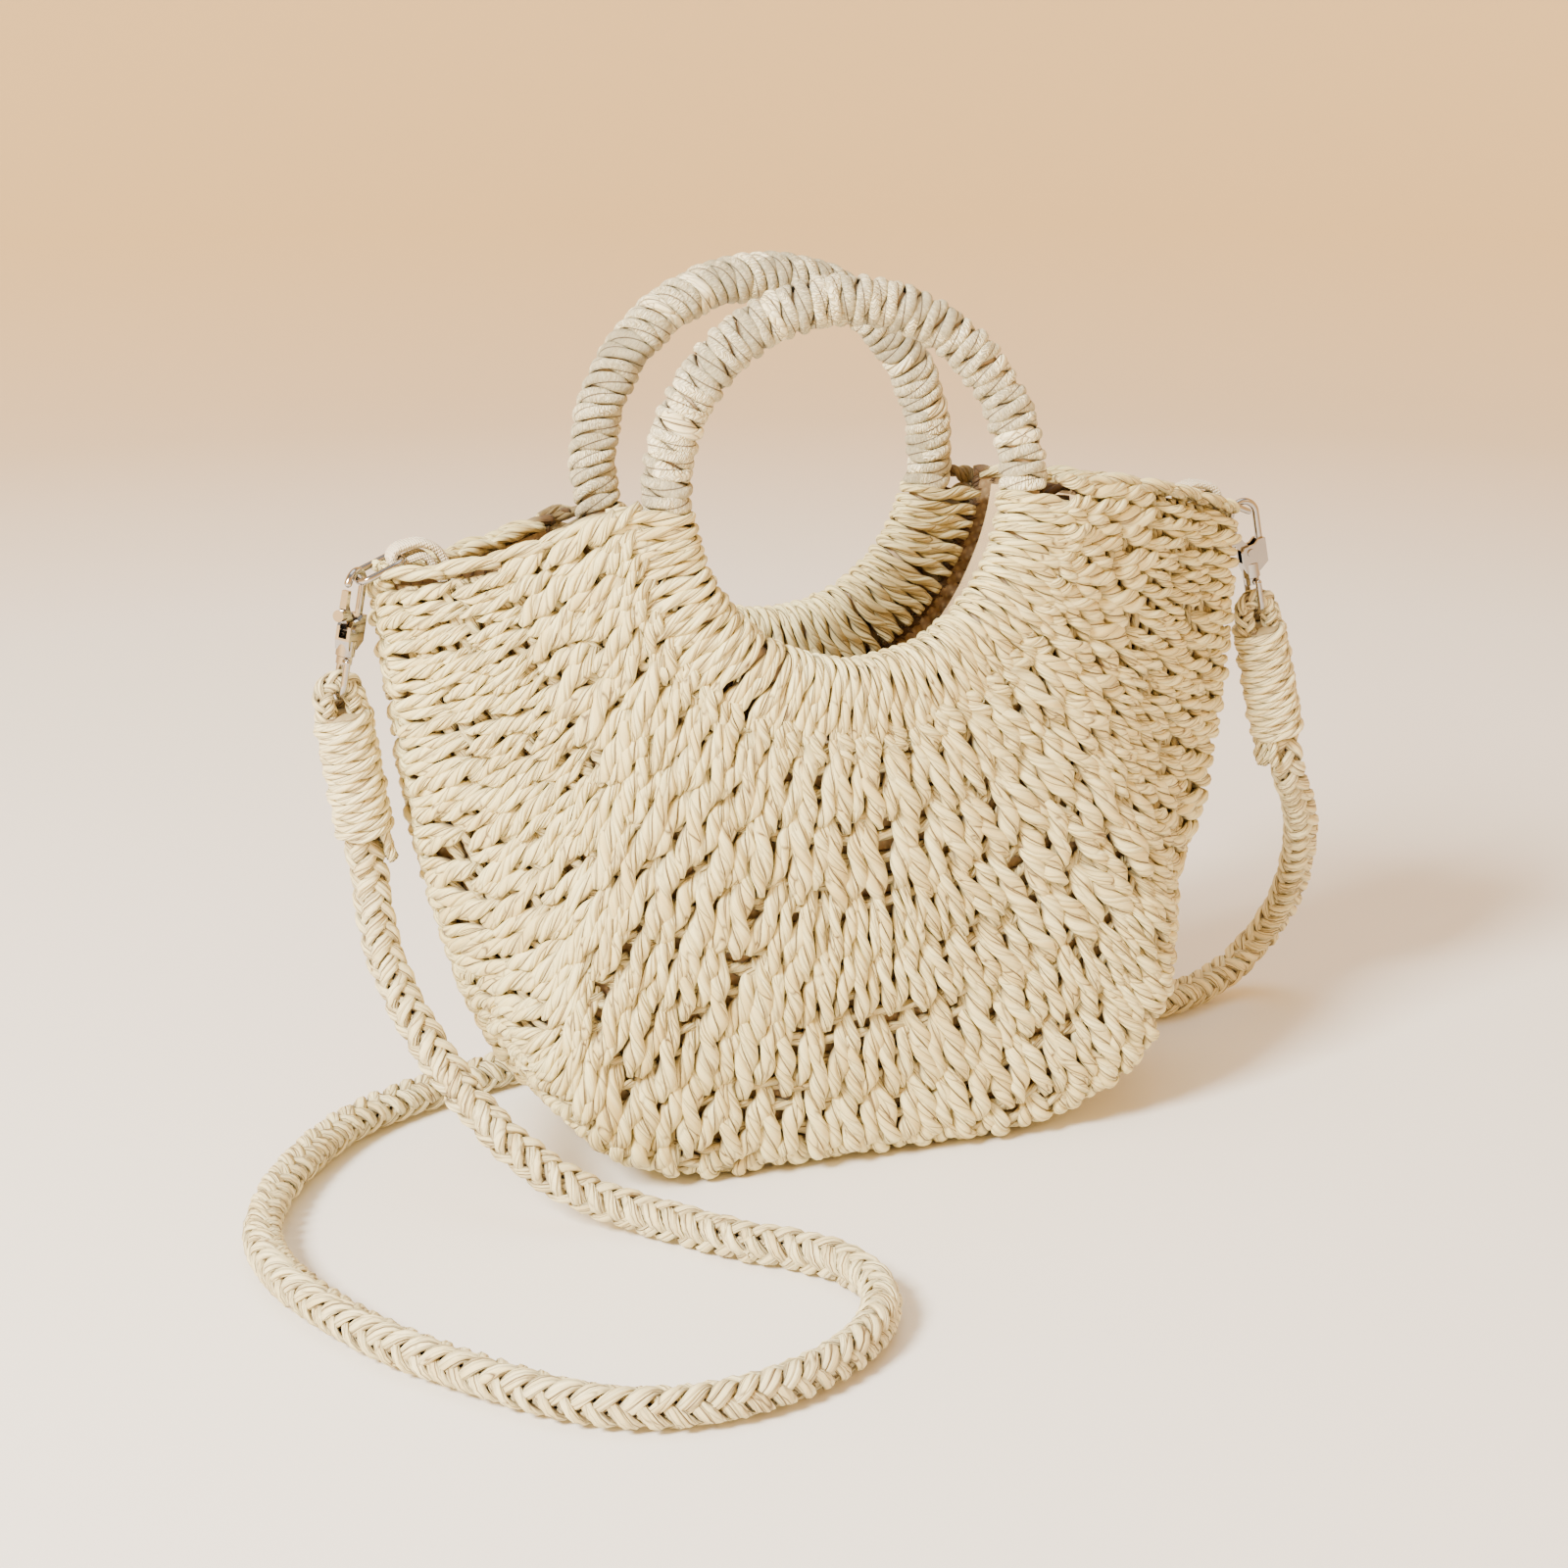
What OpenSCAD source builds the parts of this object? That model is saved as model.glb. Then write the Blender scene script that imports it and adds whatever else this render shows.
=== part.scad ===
// Half-moon handbag of plaited paper rope with two wrapped ring handles,
// a cotton lining and a braided shoulder strap on two swivel snap hooks.
// The bag stands on z = 0, its front faces -Y and its width runs along X.

/* [Bag] */
// Width between the two top corners
bag_w = 300; // [290:1:310]
// Height of the two top corners
corner_h = 202; // [198:1:206]
// How far the foot of each panel stands out from the middle
foot_y = 52; // [48:1:54]
// Thickness of the plaited panels
panel_t = 7; // [5:0.5:7.5]
// Radius of the fold between a panel and the bottom
fold_r = 13; // [10:1:18]

/* [Lining] */
// Thickness of the lining cloth
lining_t = 1.2; // [0.8:0.1:1.4]
// Width of the folded hem at the mouth
hem_w = 18; // [12:1:24]

/* [Ring handles] */
// Radius of each ring, at the middle of its core
ring_r = 60.5; // [58:0.5:62]
// Radius of the ring's section with its rope wrapping
grip_r = 7.8; // [7:0.1:8.4]
// Radius of the cane core inside
core_r = 5; // [4:0.5:5.5]
// Height of the front ring's middle; the back one sits a little lower
ring_z = 226; // [222:1:230]
// Distance of each ring's middle from the middle of the bag
ring_y = 40; // [36:1:42]
// Outer radius of the collar that ties a ring to its panel
band_r = 81; // [78:1:84]

/* [Clasps] */
// Radius of the wire of the links and eyes
wire_r = 1.1; // [0.9:0.05:1.15]
// Width of the ribbon tabs
tab_w = 6; // [4:0.5:6.5]
// Turn of the left hook from facing the front
left_yaw = 48; // [0:1:48]

/* [Strap] */
// Diameter of the braided strap
strap_d = 13; // [11:0.5:13]
// Diameter of the rope whipping at each end
whip_d = 18.8; // [18:0.2:20]
// Length of each whipping
whip_len = 43; // [36:1:43]

/* [Hidden] */
$fn = 48;
front = -1;
back = 1;
left = -1;
right = 1;
gap = 0.3;

// ---- plain helpers ----
function lerp(a, b, k) = a + (b - a) * k;
function clamp(v, lo, hi) = min(max(v, lo), hi);
function smooth(v) = let (k = clamp(v, 0, 1)) k * k * (3 - 2 * k);
function unit(v) = v / norm(v);
function signed_power(v, e) = sign(v) * pow(abs(v), e);
function bezier(a, b, c, k) = lerp(lerp(a, b, k), lerp(b, c, k), k);

// ---- ring handles ----
// The front ring leans back and the back ring leans back a little less.
ring_x = -6;
lean = [7.5, 0, -4.5];
ring_drop = [0, 0, 2];
// Clearance between a collar and its panel
collar_gap = 0.8;
// How far below a ring's widest point its collar and panel begin
foot_angle = [2, 0, 13];
// How the columns on the left and right fan out from the ring, so that the
// outer ones meet its foot
fan = [[1.088, 1.088], [], [0.95, 1]];
// How far the top edges rise over, or sag under, the level of the corners
crest = [[0, 13], [], [-8, 7]];
function ring_lean(side) = lean[side + 1];
function ring_height(side) = ring_z - ring_drop[side + 1];
// A point at radius rho and angle a of a ring's plane, out from that plane
function on_ring(side, rho, a, out) =
    let (tilt = ring_lean(side), up = rho * sin(a))
    [ring_x + rho * cos(a),
     side * (ring_y + out * cos(tilt) - up * sin(tilt)),
     ring_height(side) + up * cos(tilt) + out * sin(tilt)];

// ---- panel shape ----
// Seen from the front the edge is a superellipse under the two corners,
// which narrows towards the foot, on the left more than on the right,
// and is cut off flat where the bag stands.
edge_power = [2 / 4, 2 / 4, 2 / 3.5];
taper = [0.15, 0, 0.07];
base_flat = 2;
edge_end_y = 9;
edge_foot_y = 2.3;
panel_out = 5;
function edge_angle(u) = 180 + 90 * (1 - cos(180 * u));
function edge(u) =
    let (a = edge_angle(u), half = sign(cos(a)) + 1, power = edge_power[half],
         drop = abs(signed_power(sin(a), power)))
    [bag_w / 2 * signed_power(cos(a), power) * (1 - taper[half] * drop),
     max(0, corner_h * (1 - drop) - base_flat * drop)];
function edge_out(u) =
    let (d = edge(clamp(u + 0.01, 0, 1)) - edge(clamp(u - 0.01, 0, 1)))
    unit([d[1], -d[0]]);
function boxy(u) = smooth((150 - edge(u)[1]) / 140);

// A column runs from the ring's collar over a soft corner to the edge.
function column(side, u) =
    let (b2 = edge(u), k = boxy(u),
         from = b2 - [ring_x, ring_height(side)], half = from[0] > 0 ? 1 : 0,
         a = 270 + atan2(from[0], -from[1]) * fan[side + 1][half],
         start = on_ring(side, band_r + collar_gap, a, panel_out),
         end_y = lerp(edge_end_y, edge_foot_y, k),
         end = [b2[0], side * end_y, b2[1]],
         run = norm([start[0], start[2]] - b2),
         c2 = b2 - edge_out(u) * 0.42 * run * (1 - k),
         corner_y = lerp(lerp(end_y, abs(start[1]), 0.62), foot_y, k),
         corner = [c2[0], side * corner_y, c2[1] + crest[side + 1][half] * (1 - k)],
         cut_a = lerp(1, min(1, fold_r / norm(corner - start)), k),
         cut_b = lerp(1, min(1, fold_r / norm(corner - end)), k))
    [start, lerp(corner, start, cut_a), corner, lerp(corner, end, cut_b), end];
fold_share = 2.5;
function column_run(c) = [
    norm(c[1] - c[0]),
    fold_share * (2 * norm(c[3] - c[1]) + norm(c[2] - c[1]) + norm(c[3] - c[2])) / 3,
    norm(c[4] - c[3])];
function column_point(c, t) =
    let (l = column_run(c), s = t * (l[0] + l[1] + l[2]))
    s < l[0] ? lerp(c[0], c[1], s / l[0]) :
    s < l[0] + l[1] ? bezier(c[1], c[2], c[3], (s - l[0]) / l[1]) :
    l[2] < 0.01 ? c[4] : lerp(c[3], c[4], (s - l[0] - l[1]) / l[2]);
function panel_point(side, u, t) = column_point(column(side, u), t);
function outward(side, u, t) =
    let (v = clamp(u, 0.012, 0.988), w = clamp(t, 0.02, 0.98), d = 0.01,
         du = panel_point(side, v + d, w) - panel_point(side, v - d, w),
         dt = panel_point(side, v, w + d) - panel_point(side, v, w - d))
    side * unit(cross(du, dt));
// The rim at the ring is square to the ring's plane, so it faces the collar.
function thickness_way(side, u, t) =
    let (tilt = ring_lean(side), ring_way = [0, side * cos(tilt), sin(tilt)])
    unit(lerp(ring_way, outward(side, u, t), smooth(t / 0.1)));
function skin(side, u, t, depth) =
    panel_point(side, u, t) - thickness_way(side, u, t) * depth;

// ---- closed shells and tubes ----
function grid_faces(n, m, flip) =
    let (outer = function(i, j) i * (m + 1) + j,
         size = (n + 1) * (m + 1),
         rim = concat([for (i = [0:n]) outer(i, 0)], [for (j = [1:m]) outer(n, j)],
                      [for (i = [n - 1:-1:0]) outer(i, m)],
                      [for (j = [m - 1:-1:1]) outer(0, j)]),
         count = len(rim),
         quads = concat(
             [for (i = [0:n - 1]) for (j = [0:m - 1])
                 [outer(i, j), outer(i + 1, j), outer(i + 1, j + 1), outer(i, j + 1)]],
             [for (i = [0:n - 1]) for (j = [0:m - 1])
                 [for (v = [outer(i, j + 1), outer(i + 1, j + 1),
                            outer(i + 1, j), outer(i, j)]) v + size]],
             [for (k = [0:count - 1])
                 let (p = rim[k], q = rim[(k + 1) % count])
                 [q, p, p + size, q + size]]))
    [for (q = quads) each flip ?
        [[q[2], q[1], q[0]], [q[3], q[2], q[0]]] :
        [[q[0], q[1], q[2]], [q[0], q[2], q[3]]]];

// A shell between two depths under the surface, over shares t0(u) to t1(u)
module shell(side, n, m, outer, inner, t0, t1, u0 = 0, u1 = 1) {
    points = [for (depth = [outer, inner]) for (i = [0:n]) for (j = [0:m])
        let (u = lerp(u0, u1, i / n)) skin(side, u, lerp(t0(u), t1(u), j / m), depth)];
    polyhedron(points, grid_faces(n, m, side == back));
}

// A tube with its own sides along a list of points
module tube(path, r, sides) {
    n = len(path);
    along = [for (i = [0:n - 1])
        unit(path[min(i + 1, n - 1)] - path[max(i - 1, 0)])];
    across = [for (i = 0, a = unit(cross(along[0], [0, 1, 0])); i < n;
                   i = i + 1, a = i < n ? unit(a - along[i] * (a * along[i])) : a) a];
    points = [for (i = [0:n - 1]) for (k = [0:sides - 1])
        let (a = 360 * k / sides)
        path[i] + r * (cos(a) * across[i] + sin(a) * cross(along[i], across[i]))];
    walls = [for (i = [0:n - 2]) for (k = [0:sides - 1])
        let (p = i * sides + k, q = i * sides + (k + 1) % sides)
        each [[p, p + sides, q + sides], [p, q + sides, q]]];
    ends = [[for (k = [0:sides - 1]) k],
            [for (k = [sides - 1:-1:0]) (n - 1) * sides + k]];
    polyhedron(points, concat(walls, ends));
}

// ---- strap route: middle of the cord, from the left whipping to the right ----
strap_route = [
    [-158, 0, 117.3], [-156, 0, 104], [-155, -8, 84], [-150, -20, 65], [-141, -37, 47],
    [-129, -53, 31], [-114, -64, 18], [-98, -72, 10], [-81, -87, 7], [-66, -106, 7],
    [-51, -120, 7], [-41, -136, 7], [-40, -156, 7], [-50, -176, 7], [-68, -191, 7],
    [-92, -201, 7], [-116, -202, 7], [-138, -193, 7], [-160, -171, 7], [-185, -134, 7],
    [-202, -93, 7], [-206, -58, 7], [-199, -28, 7], [-183, 2, 7], [-159, 30, 7],
    [-128, 48, 7], [-93, 61, 7], [-50, 71, 7], [0, 75, 7], [50, 71, 7], [95, 56, 7],
    [125, 43, 7], [153, 39, 7], [180, 50, 8.5], [197, 53, 19], [203, 43, 38],
    [200, 28, 60], [191, 11, 84], [178.5, 0, 106], [175.5, 0, 118.5]];
strap_rings = 80;
strap_sides = 10;

// ---- clasp places, in the plane of one side's clasp ----
bar_x = 156;
bar_z = 202;
tab_x = 142;
tab_z = 208;
link_len = norm([bar_x - tab_x, bar_z - tab_z]);
link_w = 14;
link_corner = 3.5;
hook_tilt = 11;
bow_r = 4.8;
bow_wire = 1.25;
bow_z = wire_r + gap + bow_wire - bow_r;
rivet_z = -15.7;
slot_half = 1.4;
boss_top = -19.6;
collar_z = -24.6;
stem_r = 1.25;
eye_r = 4.6;
eye_z = -37.9;
loop_r = 5;
loop_wire = 3;
whip_top = 4;
whip_lean = [-8, 0, -13];

// ---- straw body ----
module panel(side) {
    shell(side, 36, 12, 0, panel_t, function(u) 0, function(u) 1);
}
module front_panel() { color("#E6DAC0") panel(front); }
module back_panel() { color("#DCCFB2") panel(back); }

// Lacing cord that joins the edges of the two panels
seam_inset = 3.6;
seam_r = 2;
module edge_seam() {
    path = [for (i = [1:59])
        let (u = i / 60, p = edge(u) - edge_out(u) * seam_inset) [p[0], 0, p[1]]];
    color("#D8C9A8") tube(path, seam_r, 8);
}

// ---- lining ----
lining_gap = 0.9;
hem_gap = 0.7;
function column_length(side, u) =
    let (l = column_run(column(side, u))) l[0] + l[1] / fold_share + l[2];
function below_mouth(side, u, mm) = mm / column_length(side, u);
module lining_half(side) {
    depth = panel_t + lining_gap;
    shell(side, 30, 10, depth, depth + lining_t,
          function(u) below_mouth(side, u, 4), function(u) 0.94, 0.03, 0.97);
}
module lining_bag() { color("#E3C9A0") { lining_half(front); lining_half(back); } }
module hem_half(side) {
    depth = panel_t + lining_gap + lining_t + hem_gap;
    shell(side, 30, 1, depth, depth + lining_t,
          function(u) below_mouth(side, u, 4),
          function(u) below_mouth(side, u, 4 + hem_w), 0.06, 0.94);
}
module lining_hem() { color("#E8D2AD") { hem_half(front); hem_half(back); } }

// ---- ring handles ----
module front_place() {
    translate([ring_x, -ring_y, ring_height(front)])
        rotate([90 - ring_lean(front), 0, 0]) children();
}
module back_place() {
    mirror([0, 1, 0]) translate([ring_x, -ring_y, ring_height(back)])
        rotate([90 - ring_lean(back), 0, 0]) children();
}
module ring(outer, inner, from, turn) {
    rotate([0, 0, from]) rotate_extrude(angle = turn, $fn = 96) translate([ring_r, 0])
        difference() {
            circle(r = outer);
            if (inner > 0) circle(r = inner);
        }
}
core_fit = 0.1;
module ring_core() { color("#B98F58") ring(core_r, 0, 0, 360); }
module ring_wrap(side) {
    below = foot_angle[side + 1] - 0.3;
    color("#EFE6D2") ring(grip_r, core_r + core_fit, -below, 180 + 2 * below);
}
collar_r = 8.5;
collar_reach = 6;
module band(side) {
    below = foot_angle[side + 1];
    color("#EADFC6") rotate([0, 0, 180 + below])
        rotate_extrude(angle = 180 - 2 * below, $fn = 96) difference() {
            union() {
                translate([ring_r, 0]) circle(r = collar_r);
                translate([ring_r + collar_reach, panel_out - panel_t])
                    square([band_r - ring_r - collar_reach, panel_t]);
            }
            translate([ring_r, 0]) circle(r = core_r + core_fit);
        }
}
module front_band() { front_place() band(front); }
module back_band() { back_place() band(back); }
module front_ring_core() { front_place() ring_core(); }
module back_ring_core() { back_place() ring_core(); }
module front_ring_wrap() { front_place() ring_wrap(front); }
module back_ring_wrap() { back_place() ring_wrap(back); }

// ---- ribbon tabs: sewn inside each corner, folded round the link ----
tab_slope = 40;
tab_len = 24;
tab_fit = 0.1;
ribbon_t = 1.1;
module tab() {
    color("#F4F0E6") rotate([90, 0, 0]) linear_extrude(tab_w, center = true)
        difference() {
            union() {
                circle(r = wire_r + tab_fit + ribbon_t);
                rotate(-tab_slope) translate([0, -ribbon_t])
                    square([tab_len, 2 * ribbon_t]);
            }
            circle(r = wire_r + tab_fit);
        }
}
module left_tab() { translate([-tab_x, 0, tab_z]) tab(); }
module right_tab() { mirror([1, 0, 0]) left_tab(); }

// ---- rectangular wire links with round corners ----
module wire_bar(length, r) {
    rotate([90, 0, 0]) cylinder(r = r, h = length, center = true);
}
module link() {
    straight_y = link_w - 2 * link_corner;
    straight_x = link_len - 2 * link_corner;
    color("#C9C9CC") {
        for (x = [0, link_len]) translate([x, 0, 0]) wire_bar(straight_y, wire_r);
        for (y = [-1, 1]) translate([link_corner, y * link_w / 2, 0])
            rotate([0, 90, 0]) cylinder(r = wire_r, h = straight_x);
        for (y = [0, 1]) for (x = [0, 1])
            translate([x * link_len, 0, 0]) mirror([x, 0, 0]) mirror([0, y, 0])
                translate([link_corner, straight_y / 2, 0]) rotate([0, 0, 90])
                    rotate_extrude(angle = 90) translate([link_corner, 0])
                        circle(r = wire_r);
    }
}
link_drop = atan2(tab_z - bar_z, bar_x - tab_x);
module right_link() {
    translate([tab_x, 0, tab_z]) rotate([0, link_drop, 0]) link();
}
module left_link() { mirror([1, 0, 0]) right_link(); }

// ---- swivel snap hooks, hanging from the middle of the link's outer bar ----
module hang(side) {
    translate([side * bar_x, 0, bar_z]) rotate([0, -side * hook_tilt, 0]) children();
}
function hook_yaw(side) = side == left ? left_yaw : 0;
module hook_frame(side) { hang(side) rotate([0, 0, hook_yaw(side)]) children(); }

bow_turn = 168;
leg_foot = -13;
body_half = 2.5;
boss_r = 3.1;
head_r = 2;
head_t = 0.8;
cavity_z = -22.4;
module bow() {
    translate([0, 0, bow_z]) rotate([90, 0, 0]) rotate_extrude(angle = bow_turn)
        translate([bow_r, 0]) circle(r = bow_wire);
    translate([0, 0, bow_z]) rotate([0, -bow_turn, 0]) translate([bow_r, 0, 0])
        sphere(r = bow_wire);
    translate([bow_r, 0, leg_foot]) cylinder(r = bow_wire, h = bow_z - leg_foot);
}
module hook_body() {
    profile = [[-2.6, -22.6], [2.6, -22.6], [6.05, -20], [6.05, -11.5], [3.6, -11.5],
               [1.8, -13], [-2.4, -13.4], [-3.4, -15], [-3.4, -19.6]];
    color("#C4C4C8") difference() {
        union() {
            bow();
            rotate([90, 0, 0]) linear_extrude(2 * body_half, center = true)
                polygon(profile);
            translate([0, 0, collar_z]) cylinder(r = boss_r, h = boss_top - collar_z);
        }
        translate([-6, -slot_half, -18.9]) cube([9.6, 2 * slot_half, 9]);
        translate([0, 0, rivet_z]) wire_bar(8, rivet_r + 0.02);
        translate([0, 0, collar_z - 1]) cylinder(r = stem_r + 0.06, h = 4);
        translate([0, 0, cavity_z]) cylinder(r = head_r + 0.2, h = head_t + 0.4);
    }
}
rivet_r = 0.9;
module trigger_pin() {
    color("#9C9CA0") translate([0, 0, rivet_z]) {
        wire_bar(2 * body_half, rivet_r);
        for (y = [-1, 1]) translate([0, y * (body_half + 0.3), 0]) wire_bar(0.6, 1.5);
    }
}
trigger_half = 1.15;
module trigger() {
    lever = [[-1.7, -16.4], [1, -14.2], [-1.6, -11.4], [-3.8, -8], [-4.1, -3.3],
             [-6, -3.3], [-6.1, -9], [-4.9, -12.7], [-2.6, -15.2]];
    color("#BDBDC2") {
        difference() {
            rotate([90, 0, 0]) linear_extrude(2 * trigger_half, center = true) union() {
                polygon(lever);
                translate([0, rivet_z]) circle(r = 1.9);
            }
            translate([0, 0, rivet_z]) wire_bar(8, rivet_r + 0.05);
        }
        translate([-8.2, 0, -11.2]) rotate([0, 90, 0]) cylinder(r = 1.9, h = 3);
    }
}
module trigger_spring() {
    color("#8E8E92") translate([1.7, 0, -17.4]) rotate([0, 90, 0]) difference() {
        cylinder(r = 0.9, h = 1.7);
        translate([0, 0, -1]) cylinder(r = 0.5, h = 4);
    }
}
eye_hub = 2.4;
module swivel_eye() {
    hub_z = collar_z - gap - eye_hub;
    leg_top = hub_z + 1.2;
    middle = eye_z + eye_r;
    color("#C9C9CC") {
        translate([0, 0, hub_z]) cylinder(r = 2.6, h = eye_hub);
        translate([0, 0, hub_z + 1.2]) wire_bar(2 * eye_r, 1.2);
        translate([0, 0, hub_z + 1]) cylinder(r = stem_r, h = cavity_z - 0.1 - hub_z);
        translate([0, 0, cavity_z + 0.2]) cylinder(r = head_r, h = head_t);
        for (y = [-1, 1]) translate([0, y * eye_r, middle])
            cylinder(r = wire_r, h = leg_top - middle);
        for (y = [-1, 1]) translate([0, y * eye_r, leg_top]) sphere(r = 1.2);
        translate([0, 0, middle]) rotate([0, 90, 0]) rotate([0, 0, -90])
            rotate_extrude(angle = 180) translate([eye_r, 0]) circle(r = wire_r);
    }
}
module left_hook_body() { hook_frame(left) hook_body(); }
module right_hook_body() { hook_frame(right) hook_body(); }
module left_trigger() { hook_frame(left) trigger(); }
module right_trigger() { hook_frame(right) trigger(); }
module left_trigger_pin() { hook_frame(left) trigger_pin(); }
module right_trigger_pin() { hook_frame(right) trigger_pin(); }
module left_trigger_spring() { hook_frame(left) trigger_spring(); }
module right_trigger_spring() { hook_frame(right) trigger_spring(); }
module left_swivel_eye() { hang(left) swivel_eye(); }
module right_swivel_eye() { hang(right) swivel_eye(); }

// ---- strap ends: a loop of cord through the eye, bound by a whipping ----
module strap_end(side) {
    hang(side) translate([0, 0, eye_z])
        rotate([0, side * hook_tilt + whip_lean[side + 1], 0]) children();
}
whip_end = whip_top + whip_len;
module strap_loop() {
    color("#E2D6B8") {
        rotate([90, 0, 0]) rotate_extrude(angle = 180) translate([loop_r, 0])
            circle(r = loop_wire);
        for (x = [-loop_r, loop_r]) translate([x, 0, -whip_end])
            cylinder(r = loop_wire, h = whip_end);
    }
}
module whipping() {
    color("#EDE3CC") difference() {
        translate([0, 0, -whip_end]) cylinder(r = whip_d / 2, h = whip_len);
        for (x = [-loop_r, loop_r]) translate([x, 0, -whip_end - 1])
            cylinder(r = loop_wire + 0.05, h = whip_len + 2);
    }
}
tail_r = 1.7;
tail_len = 11;
module cord_tails(side) {
    color("#E9DEC4") for (y = [-4, 0, 4])
        translate([-side * (7.1 - abs(y) / 4), y, -whip_end - tail_len + abs(y) / 2])
            cylinder(r = tail_r, h = tail_len - 0.1 - abs(y) / 2);
}
module left_strap_loop() { strap_end(left) strap_loop(); }
module right_strap_loop() { strap_end(right) strap_loop(); }
module left_whipping() { strap_end(left) whipping(); }
module right_whipping() { strap_end(right) whipping(); }
module left_cord_tails() { strap_end(left) cord_tails(left); }
module right_cord_tails() { strap_end(right) cord_tails(right); }

// ---- strap: one cord swept along its route ----
function route_point(k) =
    let (n = len(strap_route), i = clamp(floor(k), 0, n - 2), f = k - i,
         b = strap_route[i], c = strap_route[i + 1],
         a = i > 0 ? strap_route[i - 1] : 2 * b - c,
         d = i < n - 2 ? strap_route[i + 2] : 2 * c - b)
    b + f * (c - a) / 2 + f * f * (2 * a - 5 * b + 4 * c - d) / 2
      + f * f * f * (3 * b - a - 3 * c + d) / 2;
strap_path = [for (i = [0:strap_rings - 1])
    route_point(i * (len(strap_route) - 1) / (strap_rings - 1))];
module strap_cord() { color("#DDD0B0") tube(strap_path, strap_d / 2, strap_sides); }

front_panel();
back_panel();
edge_seam();
lining_bag();
lining_hem();
front_band();
back_band();
front_ring_core();
back_ring_core();
front_ring_wrap();
back_ring_wrap();
left_tab();
right_tab();
left_link();
right_link();
left_hook_body();
right_hook_body();
left_trigger();
right_trigger();
left_trigger_pin();
right_trigger_pin();
left_trigger_spring();
right_trigger_spring();
left_swivel_eye();
right_swivel_eye();
left_strap_loop();
right_strap_loop();
left_whipping();
right_whipping();
left_cord_tails();
right_cord_tails();
strap_cord();
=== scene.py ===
import math
import bpy
import numpy as np
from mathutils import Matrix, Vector


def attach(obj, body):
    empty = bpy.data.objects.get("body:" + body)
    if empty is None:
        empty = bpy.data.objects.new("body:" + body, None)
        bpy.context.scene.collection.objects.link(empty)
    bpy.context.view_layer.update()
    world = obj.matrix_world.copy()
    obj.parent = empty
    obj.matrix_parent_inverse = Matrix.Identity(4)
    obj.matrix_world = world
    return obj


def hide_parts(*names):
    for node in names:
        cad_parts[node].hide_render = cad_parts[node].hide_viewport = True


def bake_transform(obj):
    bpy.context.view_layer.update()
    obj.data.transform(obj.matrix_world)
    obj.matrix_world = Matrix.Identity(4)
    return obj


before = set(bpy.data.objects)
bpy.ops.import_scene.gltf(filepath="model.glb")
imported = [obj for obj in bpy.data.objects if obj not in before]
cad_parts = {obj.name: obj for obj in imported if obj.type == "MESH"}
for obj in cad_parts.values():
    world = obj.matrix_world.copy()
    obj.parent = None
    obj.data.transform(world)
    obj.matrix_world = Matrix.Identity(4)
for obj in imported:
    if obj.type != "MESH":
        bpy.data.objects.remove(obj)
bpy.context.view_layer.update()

MM = 0.001
FRONT, BACK = -1, 1
LEFT, RIGHT = -1, 1

# ---- camera: the photograph's viewing angle ----
CAMERA_AZIMUTH = -20.57
CAMERA_ELEVATION = 17.06
CAMERA_DISTANCE = 1.04325
CAMERA_TARGET = (0, 0, 0.110)
CAMERA_LENS = 70.59
CAMERA_SHIFT = (-0.0243, 0.0155)


def make_camera():
    azimuth, elevation = math.radians(CAMERA_AZIMUTH), math.radians(CAMERA_ELEVATION)
    back = Vector((math.sin(azimuth) * math.cos(elevation),
                   -math.cos(azimuth) * math.cos(elevation), math.sin(elevation)))
    camera = bpy.data.objects.new("camera", bpy.data.cameras.new("camera"))
    camera.location = Vector(CAMERA_TARGET) + back * CAMERA_DISTANCE
    camera.rotation_euler = back.to_track_quat("Z", "Y").to_euler()
    camera.data.lens = CAMERA_LENS
    camera.data.sensor_width = 36
    camera.data.shift_x, camera.data.shift_y = CAMERA_SHIFT
    camera.data.clip_start = 0.01
    bpy.context.collection.objects.link(camera)
    bpy.context.scene.camera = camera


# ---- plain helpers ----
def lerp(a, b, k):
    return a + (b - a) * k


def smooth(v):
    k = np.clip(v, 0, 1)
    return k * k * (3 - 2 * k)


def length_of(v):
    return np.linalg.norm(v, axis=-1)


def unit(v):
    return v / np.maximum(length_of(v), 1e-12)[..., None]


def signed_power(v, e):
    return np.sign(v) * np.abs(v) ** e


def catmull_rom(points, per_span):
    """A smooth line through points, with per_span steps in each span."""
    p = np.array(points, float)
    p = np.vstack([2 * p[0] - p[1], p, 2 * p[-1] - p[-2]])
    f = (np.arange(per_span) / per_span)[:, None]
    spans = [b + f * (c - a) / 2 + f ** 2 * (2 * a - 5 * b + 4 * c - d) / 2
             + f ** 3 * (3 * b - a - 3 * c + d) / 2
             for a, b, c, d in zip(p[:-3], p[1:-2], p[2:-1], p[3:])]
    return np.vstack(spans + [p[-2:-1]])


def run_along(path):
    """Distance from the start of a path to each of its points."""
    steps = length_of(np.diff(path, axis=-2))
    return np.concatenate([np.zeros(steps.shape[:-1] + (1,)), np.cumsum(steps, -1)], -1)


def evenly(path, count):
    """The same path with count points at even spacing."""
    run = run_along(path)
    wanted = np.linspace(0, run[-1], count)
    return np.stack([np.interp(wanted, run, path[:, i]) for i in range(3)], -1)


def carried_frame(path, first):
    """Two directions square to a path, carried along it without turning."""
    along = unit(np.gradient(path, axis=0))
    across = [np.array(first, float)]
    for way in along:
        across.append(unit(across[-1] - way * (across[-1] @ way)))
    across = np.array(across[1:])
    return across, np.cross(along, across)


def wound_frame(path, outward):
    """A wound strand's directions: across it, and outward square to it."""
    along = unit(np.gradient(path, axis=0))
    across = unit(np.cross(outward, along))
    return across, np.cross(along, across)


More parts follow.
